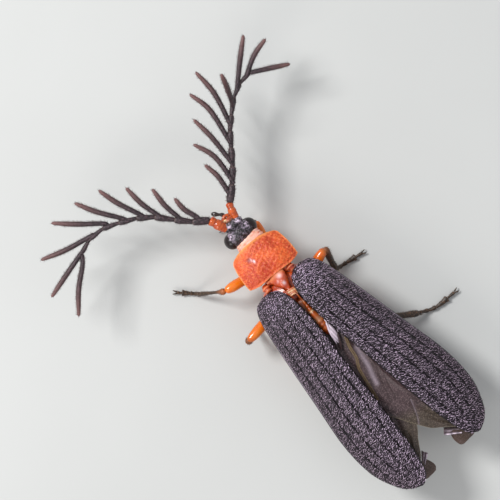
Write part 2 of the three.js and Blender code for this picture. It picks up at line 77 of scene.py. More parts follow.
def oval(sides, square=1.0):
    """Cosines and sines around a circle, squarer where square is above 1."""
    turn = np.linspace(0, 2 * math.pi, sides, endpoint=False)
    return [np.sign(f(turn)) * np.abs(f(turn)) ** (1 / square) for f in (np.cos, np.sin)]


# Smooth values and curves


def run(*keys):
    """A smooth value along a run, through (place, value) pairs in rising order of place."""
    places, values = np.array(keys, float).T
    slopes = np.gradient(values, places)

    def at(place):
        s = np.clip(place, places[0], places[-1])
        i = np.clip(np.searchsorted(places, s, side="right") - 1, 0, len(places) - 2)
        h = places[i + 1] - places[i]
        t = (s - places[i]) / h
        start = values[i] * (1 + 2 * t) + slopes[i] * h * t
        end = values[i + 1] * (3 - 2 * t) - slopes[i + 1] * h * (1 - t)
        return start * (1 - t) ** 2 + end * t**2

    return at


def curve(points, count):
    """Points at even steps along a smooth curve through the given ones."""
    knots = np.array(points, float)
    wide = np.vstack((2 * knots[0] - knots[1], knots, 2 * knots[-1] - knots[-2]))
    t = np.linspace(0, 1, 24, endpoint=False)[:, None]
    runs = []
    for a, b, c, d in zip(wide, wide[1:], wide[2:], wide[3:]):
        bend = 2 * a - 5 * b + 4 * c - d
        runs.append(0.5 * (2 * b + (c - a) * t + bend * t**2 + (3 * b - 3 * c + d - a) * t**3))
    line = np.vstack(runs + [knots[-1:]])
    length = np.concatenate(([0], np.cumsum(np.linalg.norm(np.diff(line, axis=0), axis=1))))
    places = np.linspace(0, length[-1], count)
    return np.column_stack([np.interp(places, length, line[:, k]) for k in range(line.shape[1])])


# Meshes


class Skin:
    """Closed surfaces of one piece, each with its place on the unwrapped piece and the marks drawn on it."""

    def __init__(self):
        self.points, self.faces, self.unwrap, self.marks = [], [], [], {}
        self.count = 0

    def add(self, points, faces, flat, patch, marks):
        """Adds one closed surface; patch is the corner and the size of its part of the unwrapped piece."""
        self.points.append(points)
        self.faces += [tuple(int(i) + self.count for i in face) for face in faces]
        self.unwrap.append(np.array(patch[:2]) + flat * np.array(patch[2:]))
        for name in set(self.marks) | set(marks):
            before = self.marks.setdefault(name, [np.zeros(self.count)])
            before.append(marks.get(name, np.zeros(len(points))))
        self.count += len(points)

    def tube(self, rows, patch=(0, 0, 1, 1), **marks):
        """A tube of rings, closed by a point at each end; a mark is a number, a column or a grid of them."""
        many, sides = rows.shape[:2]
        caps = np.array((rows[0].mean(0), rows[-1].mean(0)))
        points = np.vstack((rows.reshape(-1, 3), caps))
        at = np.arange(many * sides).reshape(many, sides)
        turned = np.roll(at, -1, axis=1)
        faces = list(zip(at[:-1].flat, turned[:-1].flat, turned[1:].flat, at[1:].flat))
        faces += [(many * sides, b, a) for a, b in zip(at[0], turned[0])]
        faces += [(many * sides + 1, a, b) for a, b in zip(at[-1], turned[-1])]
        u, v = np.meshgrid(steps(sides), steps(many))
        flat = np.vstack((np.column_stack((u.ravel(), v.ravel())), ((0.5, 0), (0.5, 1))))
        for name, mark in marks.items():
            grid = np.broadcast_to(mark, (many, sides)).ravel()
            marks[name] = np.append(grid, (grid[0], grid[-1]))
        self.add(points, faces, flat, patch, marks)

    def plate(self, top, thick, patch=(0, 0, 1, 1), **marks):
        """A closed plate: a grid of points and the same grid set in by the thickness."""
        rows, columns = top.shape[:2]
        normal = unit(np.cross(np.gradient(top, axis=1), np.gradient(top, axis=0)))
        if normal[..., 2].mean() < 0:
            normal = -normal
        under = top - normal * np.broadcast_to(np.asarray(thick, float)[..., None], top.shape)
        at = np.arange(rows * columns).reshape(rows, columns)
        faces = list(zip(at[:-1, :-1].flat, at[:-1, 1:].flat, at[1:, 1:].flat, at[1:, :-1].flat))
        low = rows * columns
        faces += [tuple(low + i for i in face[::-1]) for face in faces]
        rim = np.concatenate((at[0], at[1:, -1], at[-1, -2::-1], at[-2:0:-1, 0]))
        faces += [(b, a, a + low, b + low) for a, b in zip(rim, np.roll(rim, -1))]
        u, v = np.meshgrid(np.linspace(0, 0.49, columns), steps(rows))
        u, v = u.ravel(), v.ravel()
        flat = np.vstack((np.column_stack((u, v)), np.column_stack((u + 0.5, v))))
        for name, mark in marks.items():
            marks[name] = np.tile(np.broadcast_to(mark, (rows, columns)).ravel(), 2)
        self.add(np.vstack((top.reshape(-1, 3), under.reshape(-1, 3))), faces, flat, patch, marks)

    def piece(self, name, finish, slot, *nodes, lie=(0, -1, 0)):
        """Makes the object, in the frame and riding on the animal."""
        mesh = bpy.data.meshes.new(name)
        mesh.from_pydata(np.vstack(self.points).tolist(), [], self.faces)
        for mark, values in self.marks.items():
            layer = mesh.attributes.new(mark, "FLOAT", "POINT")
            layer.data.foreach_set("value", np.concatenate(values).astype(np.float32))
        corner = np.zeros(len(mesh.loops), np.int32)
        mesh.loops.foreach_get("vertex_index", corner)
        layout = mesh.uv_layers.new(name="OFBake")
        layout.data.foreach_set("uv", np.vstack(self.unwrap)[corner].astype(np.float32).ravel())
        lies = mesh.attributes.new("lie", "FLOAT_VECTOR", "POINT")
        lies.data.foreach_set("vector", np.tile(np.array(lie, np.float32), self.count))
        made = bpy.data.objects.new(name, mesh)
        bpy.context.collection.objects.link(made)
        close(mesh)
        mesh.transform(BODY_TO_FRAME)
        mesh.polygons.foreach_set("use_smooth", [True] * len(mesh.polygons))
        mesh.materials.append(finish)
        return settle(made, slot, *nodes)


def close(mesh):
    """Merges doubled points and turns every closed part of the mesh outwards."""
    shape = bmesh.new()
    shape.from_mesh(mesh)
    bmesh.ops.remove_doubles(shape, verts=shape.verts, dist=1e-5)
    bmesh.ops.dissolve_degenerate(shape, edges=shape.edges, dist=1e-6)
    bmesh.ops.recalc_face_normals(shape, faces=shape.faces)
    shape.to_mesh(mesh)
    shape.free()


def settle(made, slot, *nodes):
    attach(made, "root")
    if nodes:
        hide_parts(*nodes)
    return made


def single(form, name, finish, slot, node, **marks):
    """A piece of one tube."""
    skin = Skin()
    skin.tube(form, **marks)
    return skin.piece(name, finish, slot, node)


def rings(path, wide, high=None, sides=16, count=24, square=1.0, up=None):
    """Rings along a path, from a half width and a half height at each share of its length."""
    line = curve(path, count)
    share = steps(count)
    width = wide(share) if callable(wide) else np.full(count, float(wide))
    height = width if high is None else high(share) if callable(high) else np.full(count, float(high))
    along = unit(np.gradient(line, axis=0))
    if up is None:
        across = unit(np.column_stack((along[:, 1], -along[:, 0], np.zeros(count))))
    else:
        across = unit(np.cross(along, np.array(up, float)))
    rise = np.cross(across, along)
    cos, sin = oval(sides, square)
    return (
        line[:, None]
        + across[:, None] * (width[:, None] * cos)[..., None]
        + rise[:, None] * (height[:, None] * sin)[..., None]
    )


def ends(radius, start=0.06, finish=0.06):
    """A half width that closes over at both ends."""

    def closing(share):
        return np.sqrt(np.clip(share, 0.003, 1) * (2 - clamp(share)))

    def at(share):
        size = radius(share) if callable(radius) else radius
        return size * np.minimum(closing(share / start), closing((1 - share) / finish))

    return at


# Nodes


class Value:
    """A socket that takes part in Python expressions."""

    def __init__(self, net, socket):
        self.net, self.socket = net, socket

    def math(self, operation, other):
        return self.net.node("ShaderNodeMath", {"operation": operation}, [self, other])

    def __add__(self, other):
        return self.math("ADD", other)

    def __mul__(self, other):
        return self.math("MULTIPLY", other)

    def __sub__(self, other):
        return self.math("SUBTRACT", other)

    def __rsub__(self, other):
        return self.net.node("ShaderNodeMath", {"operation": "SUBTRACT"}, [other, self])

    def __pow__(self, other):
        return self.math("POWER", other)

    __radd__ = __add__
    __rmul__ = __mul__

    def limited(self, low, high):
        """0 below low and 1 above high."""
        return self.net.node("ShaderNodeMapRange", {}, {"Value": self, "From Min": low, "From Max": high})


class Net:
    """A node tree: node() adds a node, with its settings and the values or links of its sockets."""

    def __init__(self, tree):
        self.tree = tree

    def node(self, kind, settings=None, inputs=None, out=0):
        made = self.tree.nodes.new(kind)
        for name, setting in (settings or {}).items():
            if name == "stops":
                for stop, (place, colour) in zip(self.stops(made, len(setting)), setting):
                    stop.position, stop.color = place, (*colour, 1)
            else:
                setattr(made, name, setting)
        pairs = inputs.items() if isinstance(inputs, dict) else enumerate(inputs or ())
        for key, value in pairs:
            self.join(value, self.find(made.inputs, key))
        return Value(self, self.find(made.outputs, out))

    def stops(self, ramp, count):
        while len(ramp.color_ramp.elements) < count:
            ramp.color_ramp.elements.new(1)
        return ramp.color_ramp.elements

    def named(self, name, kind="FLOAT_VECTOR"):
        """An attribute of the mesh, by its name."""
        return self.node("GeometryNodeInputNamedAttribute", {"data_type": kind}, {"Name": name}, "Attribute")

    def find(self, sockets, key):
        live = [s for s in sockets if s.enabled]
        return live[key] if isinstance(key, int) else next(s for s in live if s.name == key)

    def join(self, value, socket):
        if isinstance(value, Value):
            self.tree.links.new(value.socket, socket)
        elif socket.type == "RGBA" and len(value) == 3:
            socket.default_value = (*value, 1)
        else:
            socket.default_value = value


class Finish(Net):
    """A material on the Principled shader; fixed numbers go straight onto the shader's sockets."""

    def __init__(self, name, **fixed):
        self.material = bpy.data.materials.new(name)
        self.material.use_nodes = True
        super().__init__(self.material.node_tree)
        self.shader = self.tree.nodes["Principled BSDF"]
        self.place = self.node("ShaderNodeTexCoord", out="Object")
        for socket, value in fixed.items():
            self.set(socket.replace("_", " ").title(), value)

    def set(self, socket, value):
        self.join(value, next(s for s in self.shader.inputs if s.name.lower() == socket.lower()))

    def noise(self, size_mm, detail=2, stretch=None, warp=0.0):
        place = self.place
        if stretch:
            place = self.node("ShaderNodeMapping", {}, {"Vector": place, "Scale": stretch})
        grain = {"Vector": place, "Scale": 1000 / size_mm, "Detail": detail, "Distortion": warp}
        return self.node("ShaderNodeTexNoise", {}, grain)

    def cells(self, size_mm, feature="F1"):
        grain = {"Vector": self.place, "Scale": 1000 / size_mm}
        return self.node("ShaderNodeTexVoronoi", {"feature": feature}, grain)

    def mark(self, name):
        return self.node("ShaderNodeAttribute", {"attribute_name": name}, out="Fac")

    def mix(self, share, first, second):
        colours = {"Factor": share, "A": first, "B": second}
        return self.node("ShaderNodeMix", {"data_type": "RGBA"}, colours, "Result")

    def marked(self, tone, **marks):
        """A tone painted over where the marks are, each with its share and its colour."""
        for name, (share, colour) in marks.items():
            mark = self.mark(name)
            tone = self.mix(mark if share == 1 else mark * share, tone, colour)
        return tone

    def done(self, tone, height=None, depth_mm=0.0, strength=0.0):
        """Sets the colour and the fine relief, and gives back the material."""
        self.set("Base Color", tone)
        if height is not None:
            grain = {"Height": height, "Distance": depth_mm / 1000, "Strength": strength}
            self.set("Normal", self.node("ShaderNodeBump", {}, grain))
        return self.material


def wing_cover_finish():
    f = Finish("wing_cover_black", roughness=0.5, specular_ior_level=0.3)
    wrinkle = f.noise(0.09, 3, (0.7, 1.3, 1), 0.8)
    granule = f.cells(0.08, "SMOOTH_F1")
    tone = f.mix(wrinkle.limited(0.4, 0.7), (0.004, 0.002, 0.0035), (0.03, 0.02, 0.028))
    # A thin painted highlight along the outer edge of the cover.
    tone = f.marked(tone, furrow=(1, (0.002, 0.0015, 0.002)), silver_rim=(0.7, (0.5, 0.4, 0.5)))
    f.set("Roughness", 0.38 + wrinkle * 0.3)
    return f.done(tone, wrinkle * 0.8 - granule * 0.5 - f.mark("furrow") * 0.6, 0.05, 0.9)


def silver_hair_finish():
    f = Finish("silver_hair", roughness=0.35, specular_ior_level=0.7)
    # The hair is painted lighter where the painted light mark is high: over the shoulder and the inner half
    # of each cover.
    dim = f.mix(f.mark("bloom"), (0.04, 0.027, 0.036), (0.14, 0.09, 0.15))
    bright = f.mix(f.mark("bloom"), (0.36, 0.26, 0.32), (0.98, 0.76, 1.0))
    return f.done(f.mix(f.noise(0.055, 1, (0.6, 1, 1)).limited(0.44, 0.56), dim, bright))


def plain_hair_finish(name, roughness, size_mm, dark, light):
    f = Finish(name, roughness=roughness)
    return f.done(f.mix(f.noise(size_mm, 1).limited(0.3, 0.7), dark, light))


def shield_finish():
    f = Finish("shield_orange", roughness=0.45, subsurface_weight=0.08, subsurface_scale=0.0003)
    pits = f.cells(0.1).limited(0.1, 0.55)
    grain = f.noise(0.065, 3, warp=0.6)
    tone = f.mix(f.noise(0.55, 3).limited(0.38, 0.64), (0.5, 0.038, 0.006), (0.74, 0.11, 0.014))
    tone = f.mix(grain.limited(0.5, 0.68) * 0.6, tone, (0.88, 0.27, 0.09))
    tone = f.mix(grain.limited(0.3, 0.46), f.mix(0.5, tone, (0.4, 0.02, 0.004)), tone)
    tone = f.mix(pits, f.mix(0.3, tone, (0.34, 0.02, 0.004)), tone)
    # The pale pink of the glint mark is a painted glint.
    tone = f.marked(
        tone, shade=(0.6, (0.4, 0.025, 0.003)), rim=(0.7, (0.93, 0.38, 0.1)), spot=(0.8, (0.2, 0.08, 0.11)),
        gleam=(1, (0.95, 0.78, 0.82)),
    )
    f.set("Roughness", 0.3 + grain * 0.3)
    return f.done(tone, pits * 0.4 + grain * 0.9, 0.03, 0.8)


def orange_finish(name, dark, light, roughness=0.28, depth=0.012, blotch=0.8):
    """The orange cuticle of body, face and thighs, with soft blotches and a thin gloss."""
    f = Finish(
        name, roughness=roughness, coat_weight=0.35, coat_roughness=0.15, subsurface_weight=0.12,
        subsurface_scale=0.0004,
    )
    # The near-white pink of the glint mark is painted highlights.
    tone = f.marked(
        f.mix(f.noise(blotch, 2).limited(0.25, 0.7), dark, light), shade=(0.75, (0.16, 0.02, 0.008)),
        pale=(1, (0.92, 0.62, 0.34)), dusk=(1, (0.035, 0.018, 0.015)), gleam=(1, (0.95, 0.72, 0.74)),
    )
    return f.done(tone, f.noise(0.09, 3), depth, 0.5)


def leg_finish():
    f = Finish("leg_brown", roughness=0.42, specular_ior_level=0.5)
    grain = f.noise(0.07, 3)
    tone = f.mix(grain.limited(0.4, 0.7), (0.014, 0.008, 0.004), (0.12, 0.062, 0.032))
    tone = f.marked(tone, warm=(1, (0.42, 0.11, 0.02)), pale=(1, (0.32, 0.2, 0.15)))
    return f.done(tone, grain, 0.02, 0.7)


def feeler_finish():
    f = Finish("feeler_brown", roughness=0.55)
    grain = f.noise(0.06, 3)
    tone = f.mix(grain.limited(0.4, 0.66), (0.007, 0.004, 0.006), (0.085, 0.05, 0.06))
    tone = f.marked(tone, tip=(0.7, (0.24, 0.11, 0.1)), pale=(1, (0.34, 0.24, 0.2)))
    return f.done(tone, grain, 0.02, 0.8)


def head_finish():
    f = Finish("head_black", roughness=0.36, specular_ior_level=0.6)
    dents = f.cells(0.09, "SMOOTH_F1")
    wrinkle = f.noise(0.1, 3, warp=0.5)
    tone = f.mix(wrinkle.limited(0.5, 0.66), (0.002, 0.001, 0.002), (0.14, 0.11, 0.15))
    tone = f.mix(f.mark("sheen") * f.noise(0.09, 3).limited(0.46, 0.6), tone, (0.72, 0.58, 0.72))
    f.set("Roughness", 0.22 + wrinkle * 0.3)
    return f.done(f.marked(tone, warm=(1, (0.5, 0.13, 0.025))), wrinkle - dents * 0.6, 0.05, 0.9)


def eye_finish():
    f = Finish("eye_black", roughness=0.36, specular_ior_level=0.35, coat_weight=0.25, coat_roughness=0.12)
    tone = f.mix(f.noise(0.5, 1).limited(0.3, 0.8), (0.001, 0.0005, 0.0006), (0.01, 0.0015, 0.002))
    return f.done(tone, 1 - f.cells(0.032), 0.006, 0.35)


def palp_finish():
    f = Finish("palp_black", roughness=0.14, coat_weight=0.6, coat_roughness=0.05)
    tone = f.mix(f.noise(0.2), (0.008, 0.006, 0.007), (0.05, 0.03, 0.025))
    return f.done(tone, f.noise(0.08), 0.01, 0.4)


def membrane_finish():
    f = Finish("wing_membrane", roughness=0.36, specular_ior_level=0.4)
    grain = f.noise(0.05, 3)
    streak = f.noise(0.5, 3, (1, 0.25, 1))
    tone = f.mix(streak.limited(0.35, 0.7), (0.036, 0.021, 0.022), (0.085, 0.053, 0.057))
    tone = f.mix(grain.limited(0.5, 0.66) * 0.6, tone, (0.22, 0.15, 0.155))
    tone = f.mix(grain.limited(0.34, 0.46), f.mix(0.5, tone, (0.02, 0.012, 0.012)), tone)
    clear = f.mix(grain.limited(0.45, 0.7), (0.06, 0.048, 0.026), (0.17, 0.14, 0.085))
    # The silver-lilac is painted sheen on the wing's folds, pleat and roots.
    tone = f.marked(
        tone, clear=(1, clear), silver=(1, (0.72, 0.6, 0.7)), vein=(0.8, (0.045, 0.022, 0.022)),
        gold=(0.9, (0.25, 0.17, 0.06)), fold=(0.75, (0.035, 0.02, 0.02)), edge=(0.5, (0.36, 0.3, 0.2)),
    )
    f.set("Roughness", 0.28 + streak * 0.2)
    f.set("Alpha", 1 - f.mark("clear") * 0.2)
    return f.done(tone, grain * 0.8 + streak * 0.6, 0.025, 0.7)


def neck_finish():
    f = Finish("neck_pink", roughness=0.4, subsurface_weight=0.3, subsurface_scale=0.0005)
    fold = f.noise(0.2, 3, (1, 2.5, 1))
    tone = f.mix(fold.limited(0.3, 0.55), (0.75, 0.24, 0.13), (0.92, 0.5, 0.4))
    return f.done(f.marked(tone, warm=(1, (0.72, 0.2, 0.03))), fold, 0.03, 0.5)


def floor_finish():
    f = Finish("floor_pale", roughness=0.85)
    tone = f.mix(f.noise(14, 3).limited(0.3, 0.7), (0.52, 0.525, 0.51), (0.55, 0.555, 0.54))
    return f.done(tone, f.noise(0.8, 3), 0.02, 0.2)


# Short hair as solid mesh, laid along each skin and rooted on it


MAP_PER_METRE = 15.0  # how much of the unwrapped skin a hair of that length would cover
HAIR_SIZES = ("Spacing", "Length", "Thickness", "Lift", "Spread", "Seed")


def hair_tree():
    tree = bpy.data.node_groups.new("short_hair", "GeometryNodeTree")
    net = Net(tree)
    tree.interface.new_socket("Skin", in_out="INPUT", socket_type="NodeSocketGeometry")
    for name in HAIR_SIZES:
        kind = "NodeSocketInt" if name == "Seed" else "NodeSocketFloat"
        tree.interface.new_socket(name, in_out="INPUT", socket_type=kind)
    tree.interface.new_socket("Finish", in_out="INPUT", socket_type="NodeSocketMaterial")
    tree.interface.new_socket("Hair", in_out="OUTPUT", socket_type="NodeSocketGeometry")
    given = tree.nodes.new("NodeGroupInput")
    field = {s.name: Value(net, s) for s in given.outputs if s.name}
    spacing, length, thickness, lift = (field[n] * 0.001 for n in ("Spacing", "Length", "Thickness", "Lift"))

    # One hair: a short curved spike, thick at its root
    reach = net.node("ShaderNodeCombineXYZ", {}, [length, 0.0, lift])
    crook = net.node("ShaderNodeCombineXYZ", {}, [length * 0.45, 0.0, lift * 0.95])
    root = net.node("ShaderNodeCombineXYZ", {}, [0.0, 0.0, thickness * -0.4])
    bend = {"Resolution": 2, "Start": root, "Middle": crook, "End": reach}
    line = net.node("GeometryNodeCurveQuadraticBezier", {}, bend)
    taper = 1 - net.node("GeometryNodeSplineParameter", out="Factor") ** 2 * 0.8
    line = net.node("GeometryNodeSetCurveRadius", {}, {"Curve": line, "Radius": taper})
    section = net.node("GeometryNodeCurvePrimitiveCircle", {}, {"Resolution": 3, "Radius": thickness * 0.5})
    sweep = {"Curve": line, "Profile Curve": section, "Fill Caps": True, "Scale": taper}
    spike = net.node("GeometryNodeCurveToMesh", {}, sweep)
    kept = {"Geometry": spike, "Name": "in_tuft", "Value": net.node("GeometryNodeInputPosition")}
    spike = net.node("GeometryNodeStoreNamedAttribute", {"data_type": "FLOAT_VECTOR"}, kept)

    # The roots, evenly apart, with the direction in which the hair lies
    scatter = net.node(
        "GeometryNodeDistributePointsOnFaces",
        {"distribute_method": "POISSON"},
        {
            "Mesh": field["Skin"], "Distance Min": spacing, "Density Max": 1.6 * spacing**-2,
            "Density Factor": 1 - net.named("bare", "FLOAT"), "Seed": field["Seed"],
        },
        "Points",
    )
    normal = Value(net, scatter.socket.node.outputs["Normal"])
    align = "FunctionNodeAlignRotationToVector"
    turn = net.node(align, {"axis": "Z"}, {"Vector": normal})
    turn = net.node(align, {"axis": "X", "pivot_axis": "Z"}, {"Rotation": turn, "Vector": net.named("lie")})
    swing = {"Min": field["Spread"] * -1, "Max": field["Spread"], "Seed": field["Seed"]}
    swing = net.node("FunctionNodeRandomValue", {"data_type": "FLOAT"}, swing)
    about = net.node("FunctionNodeAxisAngleToRotation", {}, {"Axis": (0, 0, 1), "Angle": swing})
    local = {"rotation_space": "LOCAL"}
    turn = net.node("FunctionNodeRotateRotation", local, {"Rotation": turn, "Rotate By": about})
    size = net.node("FunctionNodeRandomValue", {"data_type": "FLOAT"}, {"Min": 0.7, "Max": 1.25, "Seed": 7})
    place = {"Points": scatter, "Instance": spike, "Rotation": turn, "Scale": size}
    hairs = net.node("GeometryNodeInstanceOnPoints", {}, place)
    hairs = net.node("GeometryNodeRealizeInstances", {}, {"Geometry": hairs})

    # Each hair is a small patch of the unwrapped skin, at its root's place
    small = {"Vector": net.named("in_tuft"), "Scale": MAP_PER_METRE}
    patch = net.node("ShaderNodeVectorMath", {"operation": "SCALE"}, small)
    spot = net.node("ShaderNodeVectorMath", {"operation": "ADD"}, [net.named("root"), patch])
    layout = {"data_type": "FLOAT2", "domain": "CORNER"}
    mapped = {"Geometry": hairs, "Name": "OFBake", "Value": spot}
    hairs = net.node("GeometryNodeStoreNamedAttribute", layout, mapped)
    hairs = net.node("GeometryNodeSetMaterial", {}, {"Geometry": hairs, "Material": field["Finish"]})
    end = tree.nodes.new("NodeGroupOutput")
    tree.links.new(hairs.socket, end.inputs[0])
    return tree


HAIR = hair_tree()


def hair(name, skin, finish, slot, keep=None, **sizes):
    """Grows short hair on a copy of a skin; keep(middle in millimetres, normal) says which faces carry it."""
    made = bpy.data.objects.new(name, skin.data.copy())
    bpy.context.collection.objects.link(made)
    back = BODY_TO_FRAME.inverted()
    shape = bmesh.new()
    shape.from_mesh(made.data)
    bare = [face for face in shape.faces if keep and not keep(back @ face.calc_center_median(), face.normal)]
    bmesh.ops.delete(shape, geom=bare, context="FACES")
    shape.to_mesh(made.data)
    shape.free()
    layout = made.data.uv_layers["OFBake"]
    places = np.zeros((len(made.data.loops), 2), np.float32)
    layout.data.foreach_get("uv", places.ravel())
    root = made.data.attributes.new("root", "FLOAT_VECTOR", "CORNER")
    root.data.foreach_set("vector", np.pad(places, ((0, 0), (0, 1))).ravel())
    made.data.uv_layers.remove(made.data.uv_layers["OFBake"])
    grow = made.modifiers.new("hair", "NODES")
    grow.node_group = HAIR
    sockets = {s.name: s.identifier for s in HAIR.interface.items_tree if s.in_out == "INPUT"}
    for size, value in sizes.items():
        grow[sockets[size.capitalize()]] = value
    grow[sockets["Finish"]] = finish
    depsgraph = bpy.context.evaluated_depsgraph_get()
    mesh = bpy.data.meshes.new_from_object(made.evaluated_get(depsgraph), depsgraph=depsgraph)
    made.modifiers.remove(grow)
    made.data = mesh
    for spare in ("lie", "root", "in_tuft", "bare"):
        if spare in mesh.attributes:
            mesh.attributes.remove(mesh.attributes[spare])
    mesh.name = name
    return settle(made, slot)


# The dome of the back, which the wing covers follow

dome_ridge = run(
    (-9.1, 2.6), (-8.2, 2.98), (-6.6, 3.32), (-4, 3.52), (-1.6, 3.46), (-0.3, 3.28), (0.25, 3.02),
    (0.65, 2.55),
)
dome_fall = run((-9.1, 0.45), (-8, 0.85), (-6, 1.1), (-2, 1.15), (0, 1.0), (0.6, 0.5))
dome_half_width = run((-9.1, 2.35), (-7.5, 2.75), (-5.9, 2.75), (-4, 2.44), (-1.5, 2.08), (0.6, 1.7))


def dome(x, y):
    return dome_ridge(y) - dome_fall(y) * np.minimum(np.abs(x) / dome_half_width(y), 1.2) ** 2.6


def spread(inner, outer, across, rows):
    """The x and y of a grid between an inner and an outer edge, seen from above."""
    a, b = curve(inner, rows)[:, None], curve(outer, rows)[:, None]
    flat = a + (b - a) * across[None, :, None]
    return flat[..., 0], flat[..., 1]


COVER_INNER = [
    (0.62, 0.53), (0.35, 0.34), (0.2, 0), (0.13, -0.5), (0.16, -1.6), (0.33, -3.2), (0.59, -5.8), (0.8, -7.5),
    (1.08, -8.6), (1.42, -8.943),
]
COVER_OUTER = [
    (1.0, 0.56), (1.42, 0.4), (1.66, -0.05), (1.86, -0.9), (2.37, -3.8), (2.7, -5.8), (2.68, -7.3),
    (2.3, -8.35), (1.95, -8.76), (1.56, -8.962),
]
COVER_ROWS = 200
COVER_COLUMNS = ((0, 0.04, 4), (0.055, 0.945, 108), (0.955, 1, 5))  # closer at the two edges
COVER_THICK = 0.14
FURROWS = (0.2, 0.42, 0.64, 0.83)
RIM_STEPS = ((0.012, 0.03), (0.016, 0.09), (0.006, 0.2), (-0.02, 0.3), (-0.05, 0.36))  # outwards, down
RIM_THICK = 0.07


def wing_cover(label, side):
    def padded(mark, mode="constant"):
        return np.pad(mark, ((0, 0), (0, len(RIM_STEPS))), mode=mode)

    across = np.concatenate([np.linspace(*part) for part in COVER_COLUMNS])
    x, y = spread(COVER_INNER, COVER_OUTER, across, COVER_ROWS)
    v = np.broadcast_to(across, x.shape)
    along = steps(COVER_ROWS)[:, None]
    ease = clamp(np.sin(np.pi * np.clip(along, 0.02, 0.98)) * 1.6)
    wander = 0.006 * np.sin(along * 9 + np.array((0, 1.7, 3.1, 4.6))[:, None, None])
    furrow = sum(bump(v, place + wander[i], 0.011) for i, place in enumerate(FURROWS)) * ease
    bald = sum(bump(v, place + wander[i] - 0.01, 0.014) for i, place in enumerate(FURROWS)) * ease
    ribs = sum(bump(v, place - 0.1, 0.07) for place in FURROWS) * ease
    broken = 0.84 + 0.16 * np.sin(along * 97 + v * 40) * np.sin(along * 23 + 1)
    edge = bump(v, 0, 0.012) + bump(v, 1, 0.014) + bump(along, 0, 0.006)
    z = dome(x, y) + 0.03 * ribs - 0.035 * furrow * broken - 0.04 * edge + 0.012 * np.sin(y * 2.3 + x * 3)
    z -= 0.05 * clamp((along - 0.97) / 0.03) ** 2
    top = np.dstack((x * side, y, z))

    # The side turns down as a narrow rim, and the plate thins out towards its two ends
    outward = unit(np.gradient(top[:, -1], axis=0))
    outward = np.column_stack((outward[:, 1], -outward[:, 0], np.zeros(COVER_ROWS)))
    outward *= np.sign(outward[:, :1] * side + 1e-9)
    fade = np.clip(np.sin(np.pi * along) * 3.0, 0.2, 1)
    for out, down in RIM_STEPS:
        drop = top[:, across.size - 1] + (outward * out + np.array((0, 0, -down))) * fade
        top = np.concatenate((top, drop[:, None]), axis=1)
    thick = np.full(top.shape[:2], COVER_THICK)
    thick[:, across.size :] = RIM_THICK
    thick *= np.clip(np.minimum(along, 1 - along) * 40, 0.1, 1)

    furrow, bald, rim = padded(furrow * broken), padded(bald * broken), padded(edge, "edge")
    # The hair is painted lighter over the shoulder and the inner half, where the light falls, and darker
    # towards the outer edge: painted light and shade.
    shoulder_highlight = bump(v, 0.5, 0.35) * bump(along, 0.075, 0.06)
    cover = Skin()
    cover.plate(
        top, thick, furrow=clamp(furrow + rim * 0.8), bare=clamp(bald * 1.5 + rim * 1.5),
        bloom=clamp(padded(0.72 - 0.6 * v**1.5 + 0.5 * shoulder_highlight, "edge")),
        # A thin painted highlight along the outer edge.
        silver_rim=padded(bump(v, 0.988, 0.007) * bump(along, 0.3, 0.22)),
    )
    lie = (side, -0.35, 0)
    made = cover.piece(f"wing_cover_{label}", WING_COVER, "wing_cover", f"elytron_{label}", lie=lie)
    hair(
        f"wing_cover_hair_{label}", made, SILVER_HAIR, "wing_cover",
        keep=lambda p, n: n.z > 0.15 and p.z > dome(abs(p.x), p.y) - 0.12 and p.y > -8.87,
        spacing=0.047, length=0.075, thickness=0.026, lift=0.022, spread=0.8, seed=3 + side,
    )


# The folded hind wings: the right one lies over the left, and both end in a pleat and a pointed lobe

WING_DEPTH = 0.52
WING_THICK = 0.03
WING_ROWS, WING_COLUMNS = 230, 110
WING_OUTER = [(0.9, -1.65), (1.35, -2.2), (1.75, -3.6), (2.1, -5.6), (2.1, -7), (1.75, -8.2), (1.4, -8.6)]
WING_INNER = {
    "right": [
        (0.3, -1.9), (0.0, -2.3), (-0.55, -3.2), (-0.85, -4.6), (-0.83, -5.7), (-0.51, -6.3), (-0.2, -6.88),
        (-0.02, -7.18), (0.22, -7.56), (0.54, -7.83), (0.8, -8.06), (1.15, -8.4),
    ],
    "left": [
        (0.3, -1.9), (0.0, -2.3), (-0.4, -3.4), (-0.45, -4.6), (-0.4, -5.8), (-0.1, -6.7), (0.1, -7.1),
        (0.22, -7.28), (0.4, -7.48), (0.6, -7.76), (0.78, -8.02), (1.1, -8.35),
    ],
}
GOLD_VEINS = [
    (0.27, -2.75), (0.12, -3.15), (0.03, -3.57), (-0.18, -3.95), (-0.28, -4.31), (-0.38, -4.75), (-0.5, -5.3)
]
SHEEN = [(0.3, -3.3), (0.22, -3.79), (0.13, -4.15), (0.02, -4.46), (-0.1, -4.85)]
DARK_FOLDS = (
    [(0.5, -3.9), (0.34, -4.45), (0.18, -4.75), (0.06, -5.06), (-0.06, -5.4), (-0.2, -5.8)],
    [(0.62, -4.2), (0.46, -4.6), (0.3, -4.95), (0.18, -5.3), (0.08, -5.7)],
)
CORNER_FOLD = [(0.42, -6.2), (0.26, -6.61), (0.13, -6.89), (-0.02, -7.12)]
CLEAR_STRIP = [(0.66, -5.5), (0.76, -6.14), (0.86, -6.7), (0.92, -7.28)]
PLEAT = {
    "right": ((0.58, -7.9), (1.14, -8.4), (0.94, -8.58), (0.39, -8.15)),
    "left": ((0.66, -7.95), (0.98, -8.3), (0.93, -8.46), (0.56, -8.22)),
}
LOBE_INNER = {
    "right": [(0.62, -8.2), (0.54, -8.55), (0.58, -8.85), (0.68, -8.95)],
    "left": [(0.76, -8.3), (0.67, -8.6), (0.67, -8.8), (0.78, -8.94)],
}
LOBE_OUTER = [(1.2, -8.3), (1.42, -8.6), (1.3, -8.93), (1.0, -8.96)]


def away(path, x, y):
    """How far each place lies from a curve, seen from above."""
    line = curve(path, 80)
    return np.min(np.hypot(x[..., None] - line[:, 0], y[..., None] - line[:, 1]), axis=-1)


